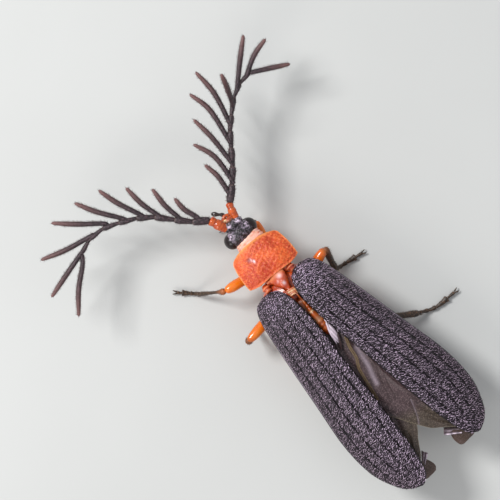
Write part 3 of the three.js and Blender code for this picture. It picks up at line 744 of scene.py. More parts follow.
def hind_wing(label, side):
    x, y = spread(WING_INNER[label], WING_OUTER, steps(WING_COLUMNS), WING_ROWS)
    v = np.broadcast_to(steps(WING_COLUMNS), x.shape)
    along = steps(WING_ROWS)[:, None]
    marks = {name: np.zeros(x.shape) for name in ("vein", "gold", "silver", "fold")}
    if label == "right":
        gold, corner = away(GOLD_VEINS, x, y), away(CORNER_FOLD, x, y)
        marks["gold"] = bump(gold, 0.035, 0.014)
        marks["vein"] = 0.8 * bump(gold, 0, 0.02) + 0.5 * bump(gold, 0.09, 0.03)
        # Painted sheen along a streak and on the crease of the corner fold, with painted shade just beside
        # that crease.
        marks["silver"] = 0.3 * bump(away(SHEEN, x, y), 0, 0.09) + 0.35 * bump(corner, 0, 0.018)
        marks["fold"] = sum(bump(away(path, x, y), 0, 0.022) for path in DARK_FOLDS)
        marks["fold"] += bump(corner, 0.03, 0.015)
    ribs = sum(bump(v, start, 0.02) for start in (0.45, 0.62, 0.8, 0.92))
    edge = bump(v, 0, 0.01) * clamp((-y - 6.0) / 0.3) + bump(along, 1, 0.005)
    waves = 0.02 * np.sin(v * 23 + along * 5) + 0.008 * np.sin(v * 51 - along * 17)
    z = dome(x, y) - WING_DEPTH + waves * clamp(along * 5)
    z += 0.02 * marks["gold"] - 0.02 * marks["fold"] + 0.03 * ribs
    z += 0.03 * side + 0.06 * clamp((-y - 6.5) / 1.5)
    clear = 0.75 * bump(away(CLEAR_STRIP, x, y), 0, 0.07)
    clear += 0.5 * clamp((-y - 6.3 - 0.3 * x) / 0.5)
    marks["vein"] = marks["vein"] + 0.5 * ribs
    marks = {name: clamp(mark) for name, mark in marks.items()}
    wing = Skin()
    wing.plate(
        np.dstack((x * side, y, z)), WING_THICK, patch=(0, 0, 1, 0.8), edge=clamp(edge), clear=clamp(clear),
        **marks,
    )
    wing_tip(wing, label, side)
    wing.piece(f"wing_{label}", MEMBRANE, "wing_membrane", f"hindwing_{label}")


def wing_tip(wing, label, side):
    """The tip of a hind wing, folded back under it: a shiny pleat and a pointed lobe."""
    first, second, third, fourth = (np.array(p) for p in PLEAT[label])
    u, v = np.meshgrid(steps(40), steps(24))
    u, v = u[..., None], v[..., None]
    flat = (first * (1 - u) + second * u) * (1 - v) + (fourth * (1 - u) + third * u) * v
    x, y, u, v = flat[..., 0], flat[..., 1], u[..., 0], v[..., 0]
    z = dome(x, y) - WING_DEPTH - 0.1 + 0.05 * np.sin(v * 8) + 0.03 * np.sin(u * 17 + v * 3) * v - 0.05 * v
    # Painted sheen on the pleat.
    shine = clamp(bump(v, 0.95, 0.14) + 0.5 * bump(v, 0.5, 0.12)) * clamp(u * 4 + 0.3)
    wing.plate(
        np.dstack((x * side, y, z)), WING_THICK, patch=(0, 0.82, 0.4, 0.15), silver=shine,
        fold=bump(v, 0.2, 0.1),
    )
    rows, columns = steps(36), steps(32)
    x, y = spread(LOBE_INNER[label], LOBE_OUTER, columns, rows.size)
    z = dome(x, y) - WING_DEPTH - 0.2 + 0.06 * np.sin(columns * math.pi)
    rim = clamp(bump(columns, 0, 0.05) + bump(rows[:, None], 1, 0.05))
    wing.plate(
        np.dstack((x * side, y, z)), WING_THICK, patch=(0.5, 0.82, 0.4, 0.15), gold=0.12,
        vein=clamp(0.45 + rim),
    )


def wing_roots():
    """The pale folded roots of the wings, between the covers behind the body's orange ridge."""
    roots = Skin()
    pale = rings(
        [(0.24, -1.5, 3.04), (0.1, -1.89, 3.12), (-0.04, -2.25, 3.15), (-0.15, -2.7, 3.13)],
        ends(run((0, 0.03), (0.5, 0.05), (1, 0.025)), 0.3, 0.4), sides=12, count=30,
    )
    # The silver-lilac of the roots is painted sheen.
    roots.tube(pale, silver=1.0)
    patch = rings(
        [(0.17, -1.85, 3.06), (0.1, -2.15, 3.13), (0.0, -2.42, 3.16), (-0.06, -2.72, 3.1)],
        ends(run((0, 0.03), (0.55, 0.13), (1, 0.05)), 0.3, 0.4), ends(0.06, 0.3, 0.4), sides=18, count=40,
    )
    roots.tube(patch, silver=clamp(0.75 + 0.35 * np.sin(patch[..., 0] * 60)))
    dark = rings(
        [(0.2, -2.3, 3.1), (0.12, -2.5, 3.16), (0.0, -2.72, 3.16), (-0.19, -3.0, 3.1)],
        ends(0.035, 0.2, 0.4), sides=10, count=24,
    )
    roots.tube(dark, vein=1.0)
    for place, size in (((0.26, -2.35, 3.12), 0.06), ((0.3, -2.52, 3.12), 0.04)):
        roots.tube(blob(place, (size, size * 0.7, size * 0.7), 14, 10), silver=0.55)
    roots.piece("wing_roots", MEMBRANE, "wing_membrane")


# The shield over the front of the body, turned a little to the animal's right

SHIELD_TURN = np.array(Matrix.Rotation(math.radians(-5.5), 3, "Z"))
SHIELD_AT = vec(0.1, 1.6)
shield_half_width = run(
    (0, 0.8), (0.05, 0.96), (0.12, 1.06), (0.28, 1.13), (0.5, 1.18), (0.72, 1.2), (1, 1.19)
)


def turned(points):
    return points @ SHIELD_TURN.T + SHIELD_AT


def shield():
    # The grid is closer towards the edges
    u = np.sin(np.linspace(-1, 1, 81) * math.pi / 2) * 0.35 + np.linspace(-1, 1, 81) * 0.65
    v = (0.5 - 0.5 * np.cos(steps(65) * math.pi)) * 0.5 + steps(65) * 0.5
    u, v = np.meshgrid(u, v)
    side = np.abs(u)
    x = u * shield_half_width(v)
    front = 0.84 - 0.11 * side**3
    hind = -0.74 + 0.17 * side**4 + 0.04 * np.cos(u * math.pi)
    y = front + (hind - front) * v
    rim = clamp(bump(side, 1, 0.03) + bump(v, 0, 0.06) + 0.5 * bump(v, 1, 0.02))
    gutter = clamp(bump(side, 0.93, 0.05) + bump(v, 0.07, 0.04) + bump(v, 0.94, 0.03))
    seam = clamp(v * 1.6 - 0.3)
    z = 2.74 - 0.3 * side**2.2 - 0.14 * (1 - v) ** 2 - 0.06 * v**4
    z += 0.012 * rim - 0.018 * gutter - 0.03 * bump(u, 0, 0.03) * seam * (1 - v**6)
    swell = bump(side, 0.42, 0.2) * bump(v, 0.68, 0.2)
    dent = bump(u, -0.42, 0.06) * bump(v, 0.33, 0.05)
    # A painted glint beside the dent.
    gleam = bump(u, -0.3, 0.03) * bump(v, 0.43, 0.045) + 0.6 * bump(u, -0.36, 0.02) * bump(v, 0.36, 0.05)
    ripple = 0.012 * np.sin(u * 31 + v * 9) * np.sin(v * 37 - u * 11) * (1 - rim)
    z += 0.05 * swell - 0.03 * dent + ripple - 0.03 * bump(side, 0.62, 0.1) * bump(v, 0.3, 0.2)
    dark = 0.9 * bump(u, 0.55, 0.16) * bump(v, 0.22, 0.16) + 0.5 * bump(u, -0.2, 0.2) * bump(v, 0.75, 0.2)
    shade = clamp(0.7 * bump(u, 0, 0.014) * seam + dark + gutter * 0.25)
    thick = 0.12 + 0.3 * (1 - side**4) * clamp(np.sin(math.pi * v) * 2)
    plate = Skin()
    plate.plate(turned(np.dstack((x, y, z))), thick, rim=rim, spot=dent, shade=shade, gleam=clamp(gleam))
    made = plate.piece("shield", SHIELD, "orange_cuticle", "pronotum")
    hair(
        "shield_hair", made, AMBER_HAIR, "orange_cuticle", keep=lambda p, n: n.z > 0.1 and p.z > 2.3,
        spacing=0.085, length=0.06, thickness=0.012, lift=0.022, spread=1.2, seed=11,
    )


# The trunk: sections across the body's length


def across_body(y, half_width, high, low, over, sides, square):
    """Squarish rings across the body at each y, drawn in by over."""
    cos, sin = oval(sides, square)
    x = (half_width * over)[:, None] * cos
    z = ((high + low) / 2)[:, None] + ((high - low) / 2 * over)[:, None] * sin
    return np.dstack((x, np.broadcast_to(y[:, None], x.shape), z))


def section(start, stop, wide, top, bottom, square=1.25, round_over=0.12):
    """A length of the body, rounded over at both ends; wide, top and bottom are keys along y."""
    y = np.linspace(start, stop, 30)
    over = ends(1.0, round_over, round_over)(steps(30))
    return across_body(y, run(*wide)(y), run(*top)(y), run(*bottom)(y), over, 36, square)


def trunk():
    body = section(
        0.62, -0.7, ((-0.7, 0.72), (-0.2, 0.88), (0.3, 0.84), (0.62, 0.66)), ((-0.7, 2.45), (0.62, 2.35)),
        ((-0.7, 1.2), (0, 1.1), (0.62, 1.25)),
    )
    single(turned(body), "thorax_front", ORANGE, "orange_cuticle", "prothorax")

    middle = Skin()
    body = section(
        1.02, -0.5, ((-0.5, 1.42), (0.2, 1.22), (0.55, 0.95), (0.74, 0.72), (1.02, 0.5)),
        ((-0.5, 2.72), (0.3, 2.6), (0.74, 2.36), (1.02, 2.25)), ((-0.5, 1.05), (1.02, 1.2)),
    )
    middle.tube(body)
    for x, y, size in ((-0.62, 0.72, 0.17), (0.62, 0.7, 0.18), (-0.36, 0.9, 0.13), (0.46, 0.86, 0.12)):
        lumps = 1 + 0.12 * np.sin(np.linspace(0, 16, 20) + x * 9)
        knob = rings(
            [(x, y + 0.16, 2.36), (x * 1.02, y - 0.22, 2.5)], lambda s: ends(size, 0.5, 0.5)(s) * lumps,
            sides=16, count=20,
        )
        column = lumps[:, None]
        # Paler on the crests of the lumps and darker in the dips between them: painted highlights and painted
        # shade.
        middle.tube(knob, pale=clamp(column - 1.06) * 5, shade=clamp(1 - column) * 6)
    middle.piece("thorax_middle", RED, "orange_cuticle", "mesothorax")

    # The small shield between the covers: a glossy boss, a waist and a striped cream bar at its end
    small = Skin()
    body = section(
        1.02, -0.02, ((-0.02, 0.15), (0.1, 0.16), (0.3, 0.2), (0.55, 0.3), (0.8, 0.36), (1.02, 0.3)),
        ((-0.02, 2.96), (0.12, 2.93), (0.35, 2.96), (0.55, 2.99), (0.8, 2.8), (1.02, 2.5)),
        ((-0.02, 2.45), (1.02, 2.2)), square=1.1, round_over=0.2,
    )
    x, y, z = body[..., 0], body[..., 1], body[..., 2]
    z += 0.03 * np.sin(x * 17 + 1) * np.sin(y * 15) * (z > 2.7)
    # Painted highlights on the boss.
    gleam = bump(x, 0.03, 0.06) * bump(y, 0.42, 0.07) + 0.7 * bump(x, 0.08, 0.1) * bump(y, 0.74, 0.09)
    gleam += 0.35 * bump(x, -0.12, 0.05) * bump(y, 0.6, 0.05)
    small.tube(
        body, gleam=clamp(gleam) * (z > 2.6), pale=0.25 * bump(y, 0.85, 0.1),
        shade=0.6 * bump(y, 0.26, 0.05) + 0.3 * bump(y, 0.6, 0.04),
    )
    for low, pale in ((0.1, 0.25), (0.03, 0.85), (-0.05, 0.3), (-0.12, 0.6)):
        bar = rings(
            [(-0.17, low, 2.97), (0.03, low - 0.04, 3.0), (0.23, low - 0.1, 2.97)],
            ends(0.045, 0.3, 0.3), sides=12, count=18, up=(0, 0, 1),
        )
        small.tube(bar, pale=pale * (0.75 + 0.25 * np.sin(bar[..., 0] * 50)))
    small.piece("scutellum_boss", RED, "orange_cuticle", "scutellum")

    # The rear of the thorax, with the ridge that shows between the covers
    rear = Skin()
    body = section(
        -0.3, -2.45, ((-2.45, 1.25), (-1.4, 1.5), (-0.3, 1.42)),
        ((-2.45, 1.85), (-1.9, 2.32), (-1.5, 2.62), (-0.3, 2.66)), ((-2.45, 1.0), (-1.2, 0.98), (-0.3, 1.05)),
    )
    rear.tube(body)
    share = steps(90)
    folds = 1 + 0.07 * np.sin(share * 60 + 2 * np.sin(share * 17))
    wide = run((0, 0.04), (0.25, 0.06), (0.45, 0.11), (0.7, 0.19), (0.85, 0.2), (1, 0.12))
    ridge = rings(
        [(0.1, -0.1, 2.9), (0.06, -0.7, 2.96), (0.01, -1.3, 3.02), (0.0, -1.85, 3.0), (-0.04, -2.3, 2.92)],
        lambda s: ends(wide, 0.03, 0.12)(s) * folds, lambda s: ends(0.16, 0.03, 0.2)(s) * folds,
        sides=20, count=90,
    )
    y = ridge[..., 1]
    crease = clamp(1.02 - folds)[:, None] * 8
    # The narrow pale band at y = -1.1 is a painted highlight.
    pale = 0.9 * bump(y, -1.1, 0.035) + 0.25 * bump(y, -1.5, 0.12) + 0.2 * bump(y, -0.6, 0.06)
    rear.tube(ridge, shade=np.clip(crease, 0, 0.7), pale=pale)
    rear.piece("thorax_rear", ORANGE_DEEP, "orange_cuticle", "metathorax")

    # Seven rings, each a little over the next; the first reaches into the thorax
    belly = Skin()
    width = run((0, 1.14), (0.2, 1.44), (0.5, 1.5), (0.8, 1.15), (1, 0.55))
    height = run((0, 0.42), (0.5, 0.44), (0.8, 0.36), (1, 0.24))
    for i in range(7):
        place = np.linspace(i - 0.4 * (i == 0), min(i + 1.12, 7), 14) / 7
        share = clamp(place)
        flare = ends(1.0, 0.1, 0.1)(steps(14)) * np.linspace(0.93, 1.0, 14)
        middle = 1.36 - 0.06 * share
        ring = across_body(
            -2.45 - 4.2 * place, width(share), middle + height(share), middle - height(share), flare, 48, 1.3
        )
        belly.tube(
            ring, patch=(0, i / 7, 1, 1 / 7), dusk=np.clip((ring[..., 2] - 1.3) * 1.4, 0, 0.75),
            pale=bump(steps(14), 0.95, 0.08)[:, None] * 0.5,
        )
    belly.piece("belly", ORANGE_DEEP, "abdomen_cuticle", "abdomen")


# Head

HEAD_AT = vec(0.15, 2.95, 1.93)


def blob(centre, radii, sides=32, count=22, shape=None):
    """An egg-like closed form along Y; shape(point on the unit ball) may push it in or out."""
    latitude = np.linspace(0, math.pi, count + 2)[1:-1]
    longitude = np.linspace(0, 2 * math.pi, sides, endpoint=False)
    latitude, longitude = np.meshgrid(latitude, longitude, indexing="ij")
    ball = np.dstack(
        (np.sin(latitude) * np.cos(longitude), np.cos(latitude), np.sin(latitude) * np.sin(longitude))
    )
    swell = 1.0 if shape is None else shape(ball)[..., None]
    return ball * swell * np.array(radii, float) + centre


def skull(p):
    brow = 0.1 * bump(p[..., 0], 0, 0.35) * bump(p[..., 2], 0.9, 0.5) * bump(p[..., 1], 0.35, 0.3)
    hollow = -0.07 * bump(p[..., 0], 0, 0.18) * bump(p[..., 1], 0.7, 0.2)
    return 1 + brow + hollow + 0.02 * np.sin(p[..., 0] * 19) * np.sin(p[..., 1] * 17)


def gloss(form, *patches):
    """Soft round patches on a form, each at an x and a y, with its size."""
    x, y = form[..., 0], form[..., 1]
    return sum(bump(np.hypot(x - a, y - b), 0, size) for a, b, size in patches)


def head():
    capsule = Skin()
    top = blob(HEAD_AT, (0.6, 0.46, 0.46), 56, 44, skull)
    top[..., 2] += 0.1 * np.abs((top[..., 0] - HEAD_AT[0]) / 0.6) ** 2 * (top[..., 2] > HEAD_AT[2] + 0.1)
    capsule.tube(top, sheen=clamp(gloss(top, (-0.27, 3.1, 0.15), (0.57, 3.08, 0.15))))
    snout = blob(HEAD_AT + vec(0.02, 0.4), (0.4, 0.3, 0.34), 36, 28)
    capsule.tube(snout, warm=clamp((snout[..., 1] - HEAD_AT[1] - 0.6) / 0.1) * 0.7)
    for x, y, size in ((0.4, 3.38, 0.2), (0.0, 3.45, 0.19)):
        socket = blob((x, y, 2.14), (size, size * 0.85, size * 0.7), 28, 20)
        capsule.tube(socket, sheen=gloss(socket, (x, y + 0.02, 0.13)))
    made = capsule.piece("head_capsule", HEAD, "head_cuticle", "head")
    hair(
        "head_hair", made, SILVER_HAIR, "head_cuticle", keep=lambda p, n: n.z > 0.1,
        spacing=0.08, length=0.06, thickness=0.014, lift=0.03, spread=1.4, seed=5,
    )
    for label, side in SIDES:
        at = HEAD_AT + vec(0.43 + 0.02 * (side < 0), 0, -0.01) * (side, 1, 1)
        single(blob(at, (0.315, 0.33, 0.34), 40, 32), f"eye_dome_{label}", EYE, "eye", f"eye_{label}")

    folds = rings(
        [(0.2, 2.0, 1.86), (0.19, 2.35, 1.9), (0.18, 2.78, 1.9)],
        lambda s: ends(run((0, 0.66), (0.55, 0.6), (1, 0.52)), 0.1, 0.1)(s) * (1 + 0.025 * np.sin(s * 40)),
        lambda s: ends(run((0, 0.4), (0.6, 0.42), (1, 0.38)), 0.1, 0.1)(s) * (1 + 0.015 * np.sin(s * 26)),
        sides=40, count=60, square=1.15,
    )
    warm = 0.8 * clamp((2.42 - folds[..., 1]) / 0.2)
    single(folds, "neck_band", NECK, "neck_membrane", "neck", warm=warm)

    # Orange face with its cream patch, lip and jaws
    face = Skin()
    face.tube(blob((0.16, 3.6, 1.8), (0.27, 0.17, 0.2), 32, 20), shade=0.35)
    face.tube(blob((0.05, 3.7, 1.92), (0.08, 0.07, 0.07), 20, 14), pale=0.8)
    lip = rings(
        [(-0.03, 3.7, 1.78), (0.1, 3.85, 1.78), (0.24, 3.83, 1.78), (0.32, 3.72, 1.78)],
        ends(0.065, 0.15, 0.15), sides=14, count=24,
    )
    face.tube(lip, shade=0.3 + 0.3 * np.sin(lip[..., 0] * 40))
    for _, side in SIDES:
        reach = ((0.18, 3.62, 1.68), (0.2, 3.76, 1.64), (0.04, 3.9, 1.62))
        jaw = rings(
            [(0.16 + x * side, y, z) for x, y, z in reach],
            ends(run((0, 0.09), (0.6, 0.06), (1, 0.02)), 0.2, 0.1), sides=14, count=18,
        )
        face.tube(jaw, dusk=clamp(np.linspace(-0.6, 1, 18))[:, None])
    face.piece("face_and_jaws", ORANGE, "orange_cuticle", "mouthparts")

    palps = {
        "left": [
            (-0.1, 3.5, 1.6), (0.1, 3.74, 1.5), (0.14, 3.94, 1.62), (0.0, 4.11, 1.66), (-0.16, 4.3, 1.62)
        ],
        "right": [(0.4, 3.4, 1.56), (0.5, 3.58, 1.44), (0.55, 3.74, 1.42), (0.52, 3.9, 1.42)],
    }
    joints = run(
        (0, 0.06), (0.3, 0.07), (0.38, 0.05), (0.46, 0.075), (0.6, 0.085), (0.66, 0.06), (0.86, 0.1),
        (1, 0.06),
    )
    for label, path in palps.items():
        palp = rings(path, ends(joints, 0.08, 0.06), sides=18, count=44)
        single(palp, f"palp_tube_{label}", PALP, "head_cuticle", f"palp_{label}")


# Feelers: a base, a stem of joints and one ray from each joint, with the angle at which the ray rises

FEELERS = {
    "left": {
        "base": [(-0.14, 3.42, 2.1), (-0.25, 3.8, 2.2), (-0.37, 4.17, 2.24)],
        "girth": 1.2,
        "stem": [
            (-0.37, 4.14, 2.25), (-0.88, 4.56, 2.3), (-1.33, 5.1, 2.34), (-1.81, 5.71, 2.38),
            (-2.35, 6.16, 2.42), (-2.97, 6.51, 2.43), (-3.58, 6.78, 2.42), (-4.23, 6.84, 2.4),
            (-4.8, 6.66, 2.36),
        ],
        "tip": [(-4.8, 6.66, 2.36), (-5.12, 6.3, 2.34), (-5.89, 5.72, 2.3), (-6.61, 4.97, 2.26)],
        "rays": [
            [(-0.63, 4.57), (-0.78, 5.15), (-0.75, 5.7)], [(-1.15, 5.07), (-1.21, 5.74), (-1.12, 6.55)],
            [(-1.65, 5.63), (-1.81, 6.42), (-1.82, 7.3)], [(-2.13, 6.13), (-2.47, 7.11), (-2.65, 7.96)],
            [(-2.74, 6.53), (-3.3, 7.44), (-3.66, 8.25)], [(-3.4, 6.89), (-4.16, 7.59), (-4.85, 8.32)],
            [(-4.05, 6.88), (-5.14, 7.17), (-6.14, 7.57)], [(-4.78, 6.68), (-5.8, 6.48), (-6.85, 6.25)],
        ],
        "lift": (8, 10, 6, 6, 4, 2, 0, -3),
    },
    "right": {
        "base": [(0.44, 3.45, 2.1), (0.52, 3.82, 2.2), (0.66, 4.14, 2.24)],
        "girth": 0.95,
        "stem": [
            (0.68, 4.1, 2.25), (1.22, 4.53, 2.3), (1.72, 5.02, 2.34), (2.18, 5.57, 2.38), (2.6, 6.08, 2.42),
            (3.06, 6.48, 2.43), (3.61, 6.91, 2.42), (4.15, 7.14, 2.4), (4.7, 7.18, 2.36),
        ],
        "tip": [(4.7, 7.18, 2.36), (5.0, 7.0, 2.34), (5.38, 6.77, 2.3), (6.09, 6.33, 2.26)],
        "rays": [
            [(0.85, 4.2), (1.04, 5.09), (0.99, 5.82)], [(1.33, 4.64), (1.48, 5.76), (1.22, 6.69)],
            [(1.8, 5.2), (1.92, 6.36), (1.89, 7.38)], [(2.31, 5.8), (2.6, 7.2), (2.46, 8.19)],
            [(2.8, 6.3), (3.17, 7.54), (3.22, 8.65)], [(3.42, 6.8), (3.67, 7.37), (3.82, 7.8)],
            [(4.0, 7.12), (4.81, 7.8), (5.55, 8.38)], [(4.6, 7.2), (5.3, 7.53), (6.06, 7.68)],
        ],
        "lift": (6, 8, 6, 4, 4, 55, 6, 8),
    },
}
BASE_COUNT, JOINT_COUNT, RAY_COUNT = 56, 18, 34


def feeler(label):
    shape = FEELERS[label]
    wide = run((0, 0.12), (0.3, 0.155), (0.56, 0.175), (0.66, 0.15), (0.72, 0.145), (0.86, 0.165), (1, 0.12))
    rough = 1 + 0.03 * np.sin(np.linspace(0, 44, BASE_COUNT))
    shaft = rings(
        shape["base"], lambda s: ends(wide, 0.05, 0.08)(s) * shape["girth"] * rough,
        sides=24, count=BASE_COUNT,
    )
    waist = (bump(steps(BASE_COUNT), 0.69, 0.03)[:, None] + 0.25) * 0.7
    single(shaft, f"feeler_base_{label}", ORANGE, "orange_cuticle", f"antenna_base_{label}", shade=waist)

    comb = Skin()
    joints = np.array(shape["stem"])
    for i, (a, b) in enumerate(zip(joints, joints[1:])):
        over = unit(b - a) * 0.04
        thick = 0.145 - 0.055 * i / 7
        slim = 0.9 if i == 0 else 0.65
        wide = run((0, thick * slim), (0.3, thick * (slim + 0.15)), (0.8, thick), (1, thick * 0.75))
        path = [a - over, (a + b) / 2, b + over]
        segment = rings(path, ends(wide, 0.08, 0.1), sides=14, count=JOINT_COUNT)
        joint = bump(steps(JOINT_COUNT), 1, 0.05)[:, None] * 0.8
        comb.tube(segment, patch=(0, i / 20, 0.5, 0.05), pale=joint)

    # Each ray starts in the stem, and the last one goes on from its end
    heights = np.interp(np.arange(8) + 0.72, np.arange(9), joints[:, 2])
    trace = curve(joints, 400)
    lines = []
    for ray, lift, height in zip(shape["rays"], shape["lift"], heights):
        near = int(np.argmin(np.linalg.norm(trace[:, :2] - ray[0], axis=1)))
        ray = np.vstack((trace[max(near - 9, 0), :2], ray))
        reach = np.concatenate(([0], np.cumsum(np.linalg.norm(np.diff(ray, axis=0), axis=1))))
        lines.append(np.column_stack((ray, height + reach * math.tan(math.radians(lift)))))
    blade = ends(run((0, 0.085), (0.3, 0.095), (0.8, 0.09), (1, 0.06)), 0.03, 0.05)
    deep = ends(run((0, 0.1), (0.3, 0.12), (0.8, 0.11), (1, 0.07)), 0.03, 0.05)
    fade = clamp(np.linspace(-0.2, 1, RAY_COUNT))[:, None] ** 2
    for place, line in zip((*np.arange(8) / 10, 0.9), (*lines, shape["tip"])):
        ray = rings(line, blade, deep, sides=14, count=RAY_COUNT)
        comb.tube(ray, patch=(0.5, place, 0.5, 0.09), tip=fade)
    made = comb.piece(f"feeler_{label}", FEELER, "antenna_cuticle", f"antenna_{label}", lie=(0, 1, 0))
    hair(
        f"feeler_hair_{label}", made, DARK_HAIR, "antenna_cuticle",
        spacing=0.055, length=0.075, thickness=0.014, lift=0.045, spread=1.3, seed=23,
    )


# Legs: hip, knee and ankle, and two places of the foot on the floor

LEGS = {
    "front_left": [(-0.42, 1.42, 1.0), (-1.86, 1.74, 1.42), (-2.68, 2.36, 0.36)],
    "front_right": [(0.56, 1.5, 1.0), (0.93, 2.87, 1.2), (0.42, 3.0, 0.36)],
    "middle_left": [(-0.5, -0.12, 0.95), (-2.58, -0.3, 1.42), (-2.14, -0.27, 0.36)],
    "middle_right": [(0.5, -0.12, 0.95), (2.1, 0.24, 1.5), (1.85, -0.68, 0.36)],
    "hind_left": [(-0.85, -1.95, 0.85), (-1.8, -3.16, 1.12), (-2.1, -4.5, 0.36)],
    "hind_right": [(0.85, -1.95, 0.85), (1.8, -3.26, 1.12), (3.05, -4.2, 0.36)],
}
FEET = {
    "front_left": [(-2.95, 2.66), (-3.32, 3.06)],
    "front_right": [(0.1, 3.24), (-0.3, 3.56)],
    "middle_left": [(-1.6, -0.25), (-1.0, -0.2)],
    "middle_right": [(2.4, -0.78), (3.1, -0.94)],
    "hind_left": [(-2.16, -5.2), (-2.26, -6.06)],
    "hind_right": [(3.7, -4.5), (4.68, -4.58)],
}
WARM_KNEES = {"front_left": 0.95, "hind_right": 0.5, "hind_left": 0.5}
FOOT_JOINTS = (  # start, end and half width
    (0.0, 0.27, 0.085), (0.27, 0.46, 0.09), (0.46, 0.62, 0.095), (0.62, 0.76, 0.13), (0.76, 1.0, 0.065)
)
FOOT_HEIGHT = 0.1


def leg(label):
    hip, knee, ankle = (vec(*place) for place in LEGS[label])
    slim = 0.6 if label == "front_right" else 1.0
    front = label.startswith("front")
    thigh = Skin()
    bow = (hip + knee) / 2 + vec(0, 0, 0.06)
    root = hip + vec(-0.35 * hip[0], 0.12, 0.42)
    coxa = rings([root, hip], ends(run((0, 0.3), (1, 0.24)), 0.2, 0.25), sides=20, count=16, up=(0, 1, 0))
    thigh.tube(coxa)
    wide = run((0, 0.15), (0.12, 0.12), (0.2, 0.16), (0.55, 0.205), (0.86, 0.185), (1, 0.12))
    shank = rings([hip, bow, knee], lambda s: ends(wide, 0.06, 0.06)(s) * slim, sides=24, count=48)
    share = steps(48)[:, None]
    dark = clamp((share - 0.9) / 0.08) * (0.0 if front else 0.5)
    thigh.tube(shank, dusk=dark, shade=0.4 * bump(share, 0.15, 0.04))
    made = thigh.piece(f"thigh_{label}", FEMUR, "femur_cuticle", f"femur_{label}")
    hair(
        f"thigh_hair_{label}", made, AMBER_HAIR, "femur_cuticle",
        spacing=0.13, length=0.08, thickness=0.009, lift=0.03, spread=0.5, seed=31,
    )

    # The shin, with two spurs at the ankle
    shin = Skin()
    middle = (knee + ankle) / 2 + vec(0, 0, 0.05)
    start = knee + (unit(knee - middle) * 0.03 if slim == 1 else vec(-0.05, -0.03, -0.12))
    wide = run((0, 0.1), (0.08, 0.145), (0.25, 0.14), (0.6, 0.12), (0.92, 0.125), (1, 0.09))
    if front:
        wide = run((0, 0.1), (0.1, 0.13), (0.25, 0.075), (0.6, 0.07), (0.92, 0.09), (1, 0.08))
    tube = rings([start, middle, ankle], ends(wide, 0.06, 0.05), sides=18, count=36)
    shin.tube(tube, warm=WARM_KNEES.get(label, 0.35) * clamp(1 - steps(36)[:, None] / 0.35))
    down = unit(ankle - middle)
    for turn in (-1, 1):
        aside = unit(np.cross(down, vec(0, 0, 1))) * 0.07 * turn
        spur = [ankle - down * 0.08 + aside * 0.8, ankle + down * 0.14 + aside * 1.3]
        shin.tube(rings(spur, ends(run((0, 0.03), (1, 0.012))), sides=8, count=8))
    lie = tuple(unit(ankle - knee))
    made = shin.piece(f"shin_{label}", LEG, "dark_leg_cuticle", f"tibia_{label}", lie=lie)
    hair(
        f"shin_hair_{label}", made, DARK_HAIR, "dark_leg_cuticle",
        spacing=0.07, length=0.075, thickness=0.011, lift=0.032, spread=0.5, seed=37,
    )


def foot(label):
    """Five joints, the fourth with a lobe, and two claws."""
    paw = Skin()
    ankle = LEGS[label][-1]
    line = curve([(ankle[0], ankle[1], 0.33), *((x, y, FOOT_HEIGHT) for x, y in FEET[label])], 101)
    line[:, 2] = FOOT_HEIGHT + (line[:, 2] - FOOT_HEIGHT) * clamp(1 - steps(101) / 0.25)
    for i, (start, stop, broad) in enumerate(FOOT_JOINTS):
        path = line[max(int(start * 100) - 4, 0) : int(stop * 100) + 1]
        path = path[:: max(1, len(path) // 5)]
        wide = run((0, broad * 0.7), (0.45, broad * 0.8), (0.85, broad), (1, broad * 0.85))
        high = run((0, 0.085 if i == 0 else 0.05), (0.6, 0.08), (1, 0.09))
        joint = rings(path, ends(wide, 0.08, 0.12), ends(high, 0.08, 0.12), sides=16, count=16)
        paw.tube(joint, patch=(0, i / 6, 1, 0.15), pale=0.15 * bump(steps(16), 0, 0.1)[:, None])
    end, along = line[-1], unit(line[-1] - line[-8])
    for turn in (-1, 1):
        aside = vec(along[1], -along[0]) * turn
        hook = [
            end - along * 0.06 + aside * 0.03, end + along * 0.06 + aside * 0.06 + vec(0, 0, 0.02),
            end + along * 0.12 + aside * 0.08 - vec(0, 0, 0.05),
        ]
        claw = rings(hook, ends(run((0, 0.04), (1, 0.012)), 0.1, 0.1), sides=10, count=14)
        paw.tube(claw, patch=(0.5, 0.9, 0.1, 0.1))
    made = paw.piece(f"foot_{label}", LEG, "dark_leg_cuticle", f"tarsus_{label}", lie=tuple(along))
    hair(
        f"foot_hair_{label}", made, DARK_HAIR, "dark_leg_cuticle", keep=lambda p, n: p.z > 0.075,
        spacing=0.07, length=0.055, thickness=0.011, lift=0.022, spread=0.5, seed=41,
    )


# The camera looks straight down on the back, as the photograph does

PIXELS_PER_MM = 26
PICTURE_PIXELS = 500
VIEW_CENTRE = (-0.04, 2.23, 3.0)
VIEW_TURN = math.radians(-44)
LIGHT_AIM = (0, -2, 2)


def placed(thing, name):
    """Puts a camera or a lamp into the scene."""
    made = bpy.data.objects.new(name, thing)
    bpy.context.collection.objects.link(made)
    return made


def camera():
    made = bpy.data.cameras.new("camera")
    made.lens = 200
    made.sensor_width = 36
    made.clip_start = 0.001
    height = made.lens / made.sensor_width * PICTURE_PIXELS / PIXELS_PER_MM / 1000
    seat = placed(made, "camera")
    eye = BODY_TO_FRAME @ Vector(VIEW_CENTRE) + Vector((0, 0, height))
    seat.matrix_world = Matrix.Translation(eye) @ Matrix.Rotation(VIEW_TURN, 4, "Z")
    bpy.context.scene.camera = seat


def light(name, place, size, power, colour=(1, 1, 1)):
    lamp = bpy.data.lights.new(name, "AREA")
    lamp.shape = "DISK"
    lamp.size = size / 1000
    lamp.energy = power
    lamp.color = colour
    start, target = Vector(place) / 1000, Vector(LIGHT_AIM) / 1000
    turn = (target - start).to_track_quat("-Z", "Y").to_matrix().to_4x4()
    placed(lamp, name).matrix_world = Matrix.Translation(start) @ turn


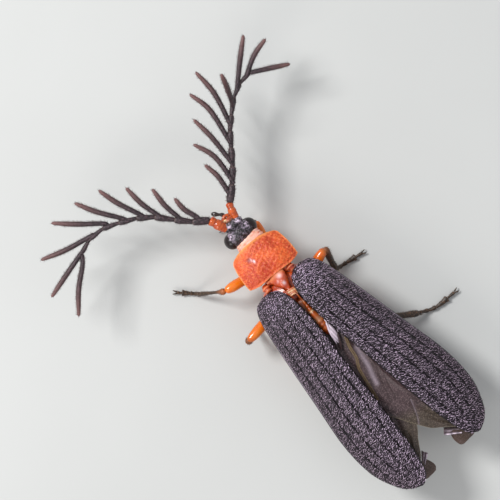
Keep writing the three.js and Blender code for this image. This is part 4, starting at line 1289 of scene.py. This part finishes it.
def studio():
    world = bpy.data.worlds.new("soft_sky")
    world.use_nodes = True
    sky = world.node_tree.nodes["Background"].inputs
    sky["Color"].default_value = (0.93, 0.95, 1.0, 1)
    sky["Strength"].default_value = 0.6
    bpy.context.scene.world = world
    bpy.context.scene.view_settings.view_transform = "Standard"
    light("key_panel", (-25, 70, 85), 34, 0.11)
    light("side_panel", (-80, -20, 70), 44, 0.03, (1, 0.97, 0.93))
    floor = Skin()
    x, y = np.meshgrid(np.linspace(-400, 400, 3), np.linspace(-400, 400, 3))
    floor.plate(np.dstack((x, y, np.full(x.shape, -0.02))), 4.0)
    mesh = bpy.data.meshes.new("floor")
    mesh.from_pydata(np.vstack(floor.points).tolist(), [], floor.faces)
    mesh.transform(Matrix.Scale(0.001, 4))
    mesh.materials.append(floor_finish())
    made = placed(mesh, "floor")
    close(mesh)


camera()
WING_COVER, SILVER_HAIR = wing_cover_finish(), silver_hair_finish()
DARK_HAIR = plain_hair_finish("dark_hair", 0.5, 0.6, (0.015, 0.009, 0.009), (0.1, 0.055, 0.048))
AMBER_HAIR = plain_hair_finish("amber_hair", 0.4, 0.5, (0.68, 0.13, 0.015), (0.9, 0.36, 0.09))
SHIELD, MEMBRANE, NECK = shield_finish(), membrane_finish(), neck_finish()
HEAD, EYE, PALP = head_finish(), eye_finish(), palp_finish()
ORANGE = orange_finish("face_orange", (0.34, 0.035, 0.006), (0.68, 0.13, 0.014), 0.25, 0.03, 0.25)
RED = orange_finish("thorax_red", (0.3, 0.014, 0.004), (0.62, 0.085, 0.012), 0.2, 0.03)
ORANGE_DEEP = orange_finish("belly_orange", (0.3, 0.045, 0.008), (0.5, 0.11, 0.015))
FEMUR = orange_finish("thigh_amber", (0.62, 0.1, 0.004), (0.82, 0.21, 0.01), 0.2, 0.006)
LEG, FEELER = leg_finish(), feeler_finish()

for label, side in SIDES:
    wing_cover(label, side)
    hind_wing(label, side)
    feeler(label)
wing_roots()
shield()
trunk()
head()
for label in LEGS:
    leg(label)
    foot(label)
studio()
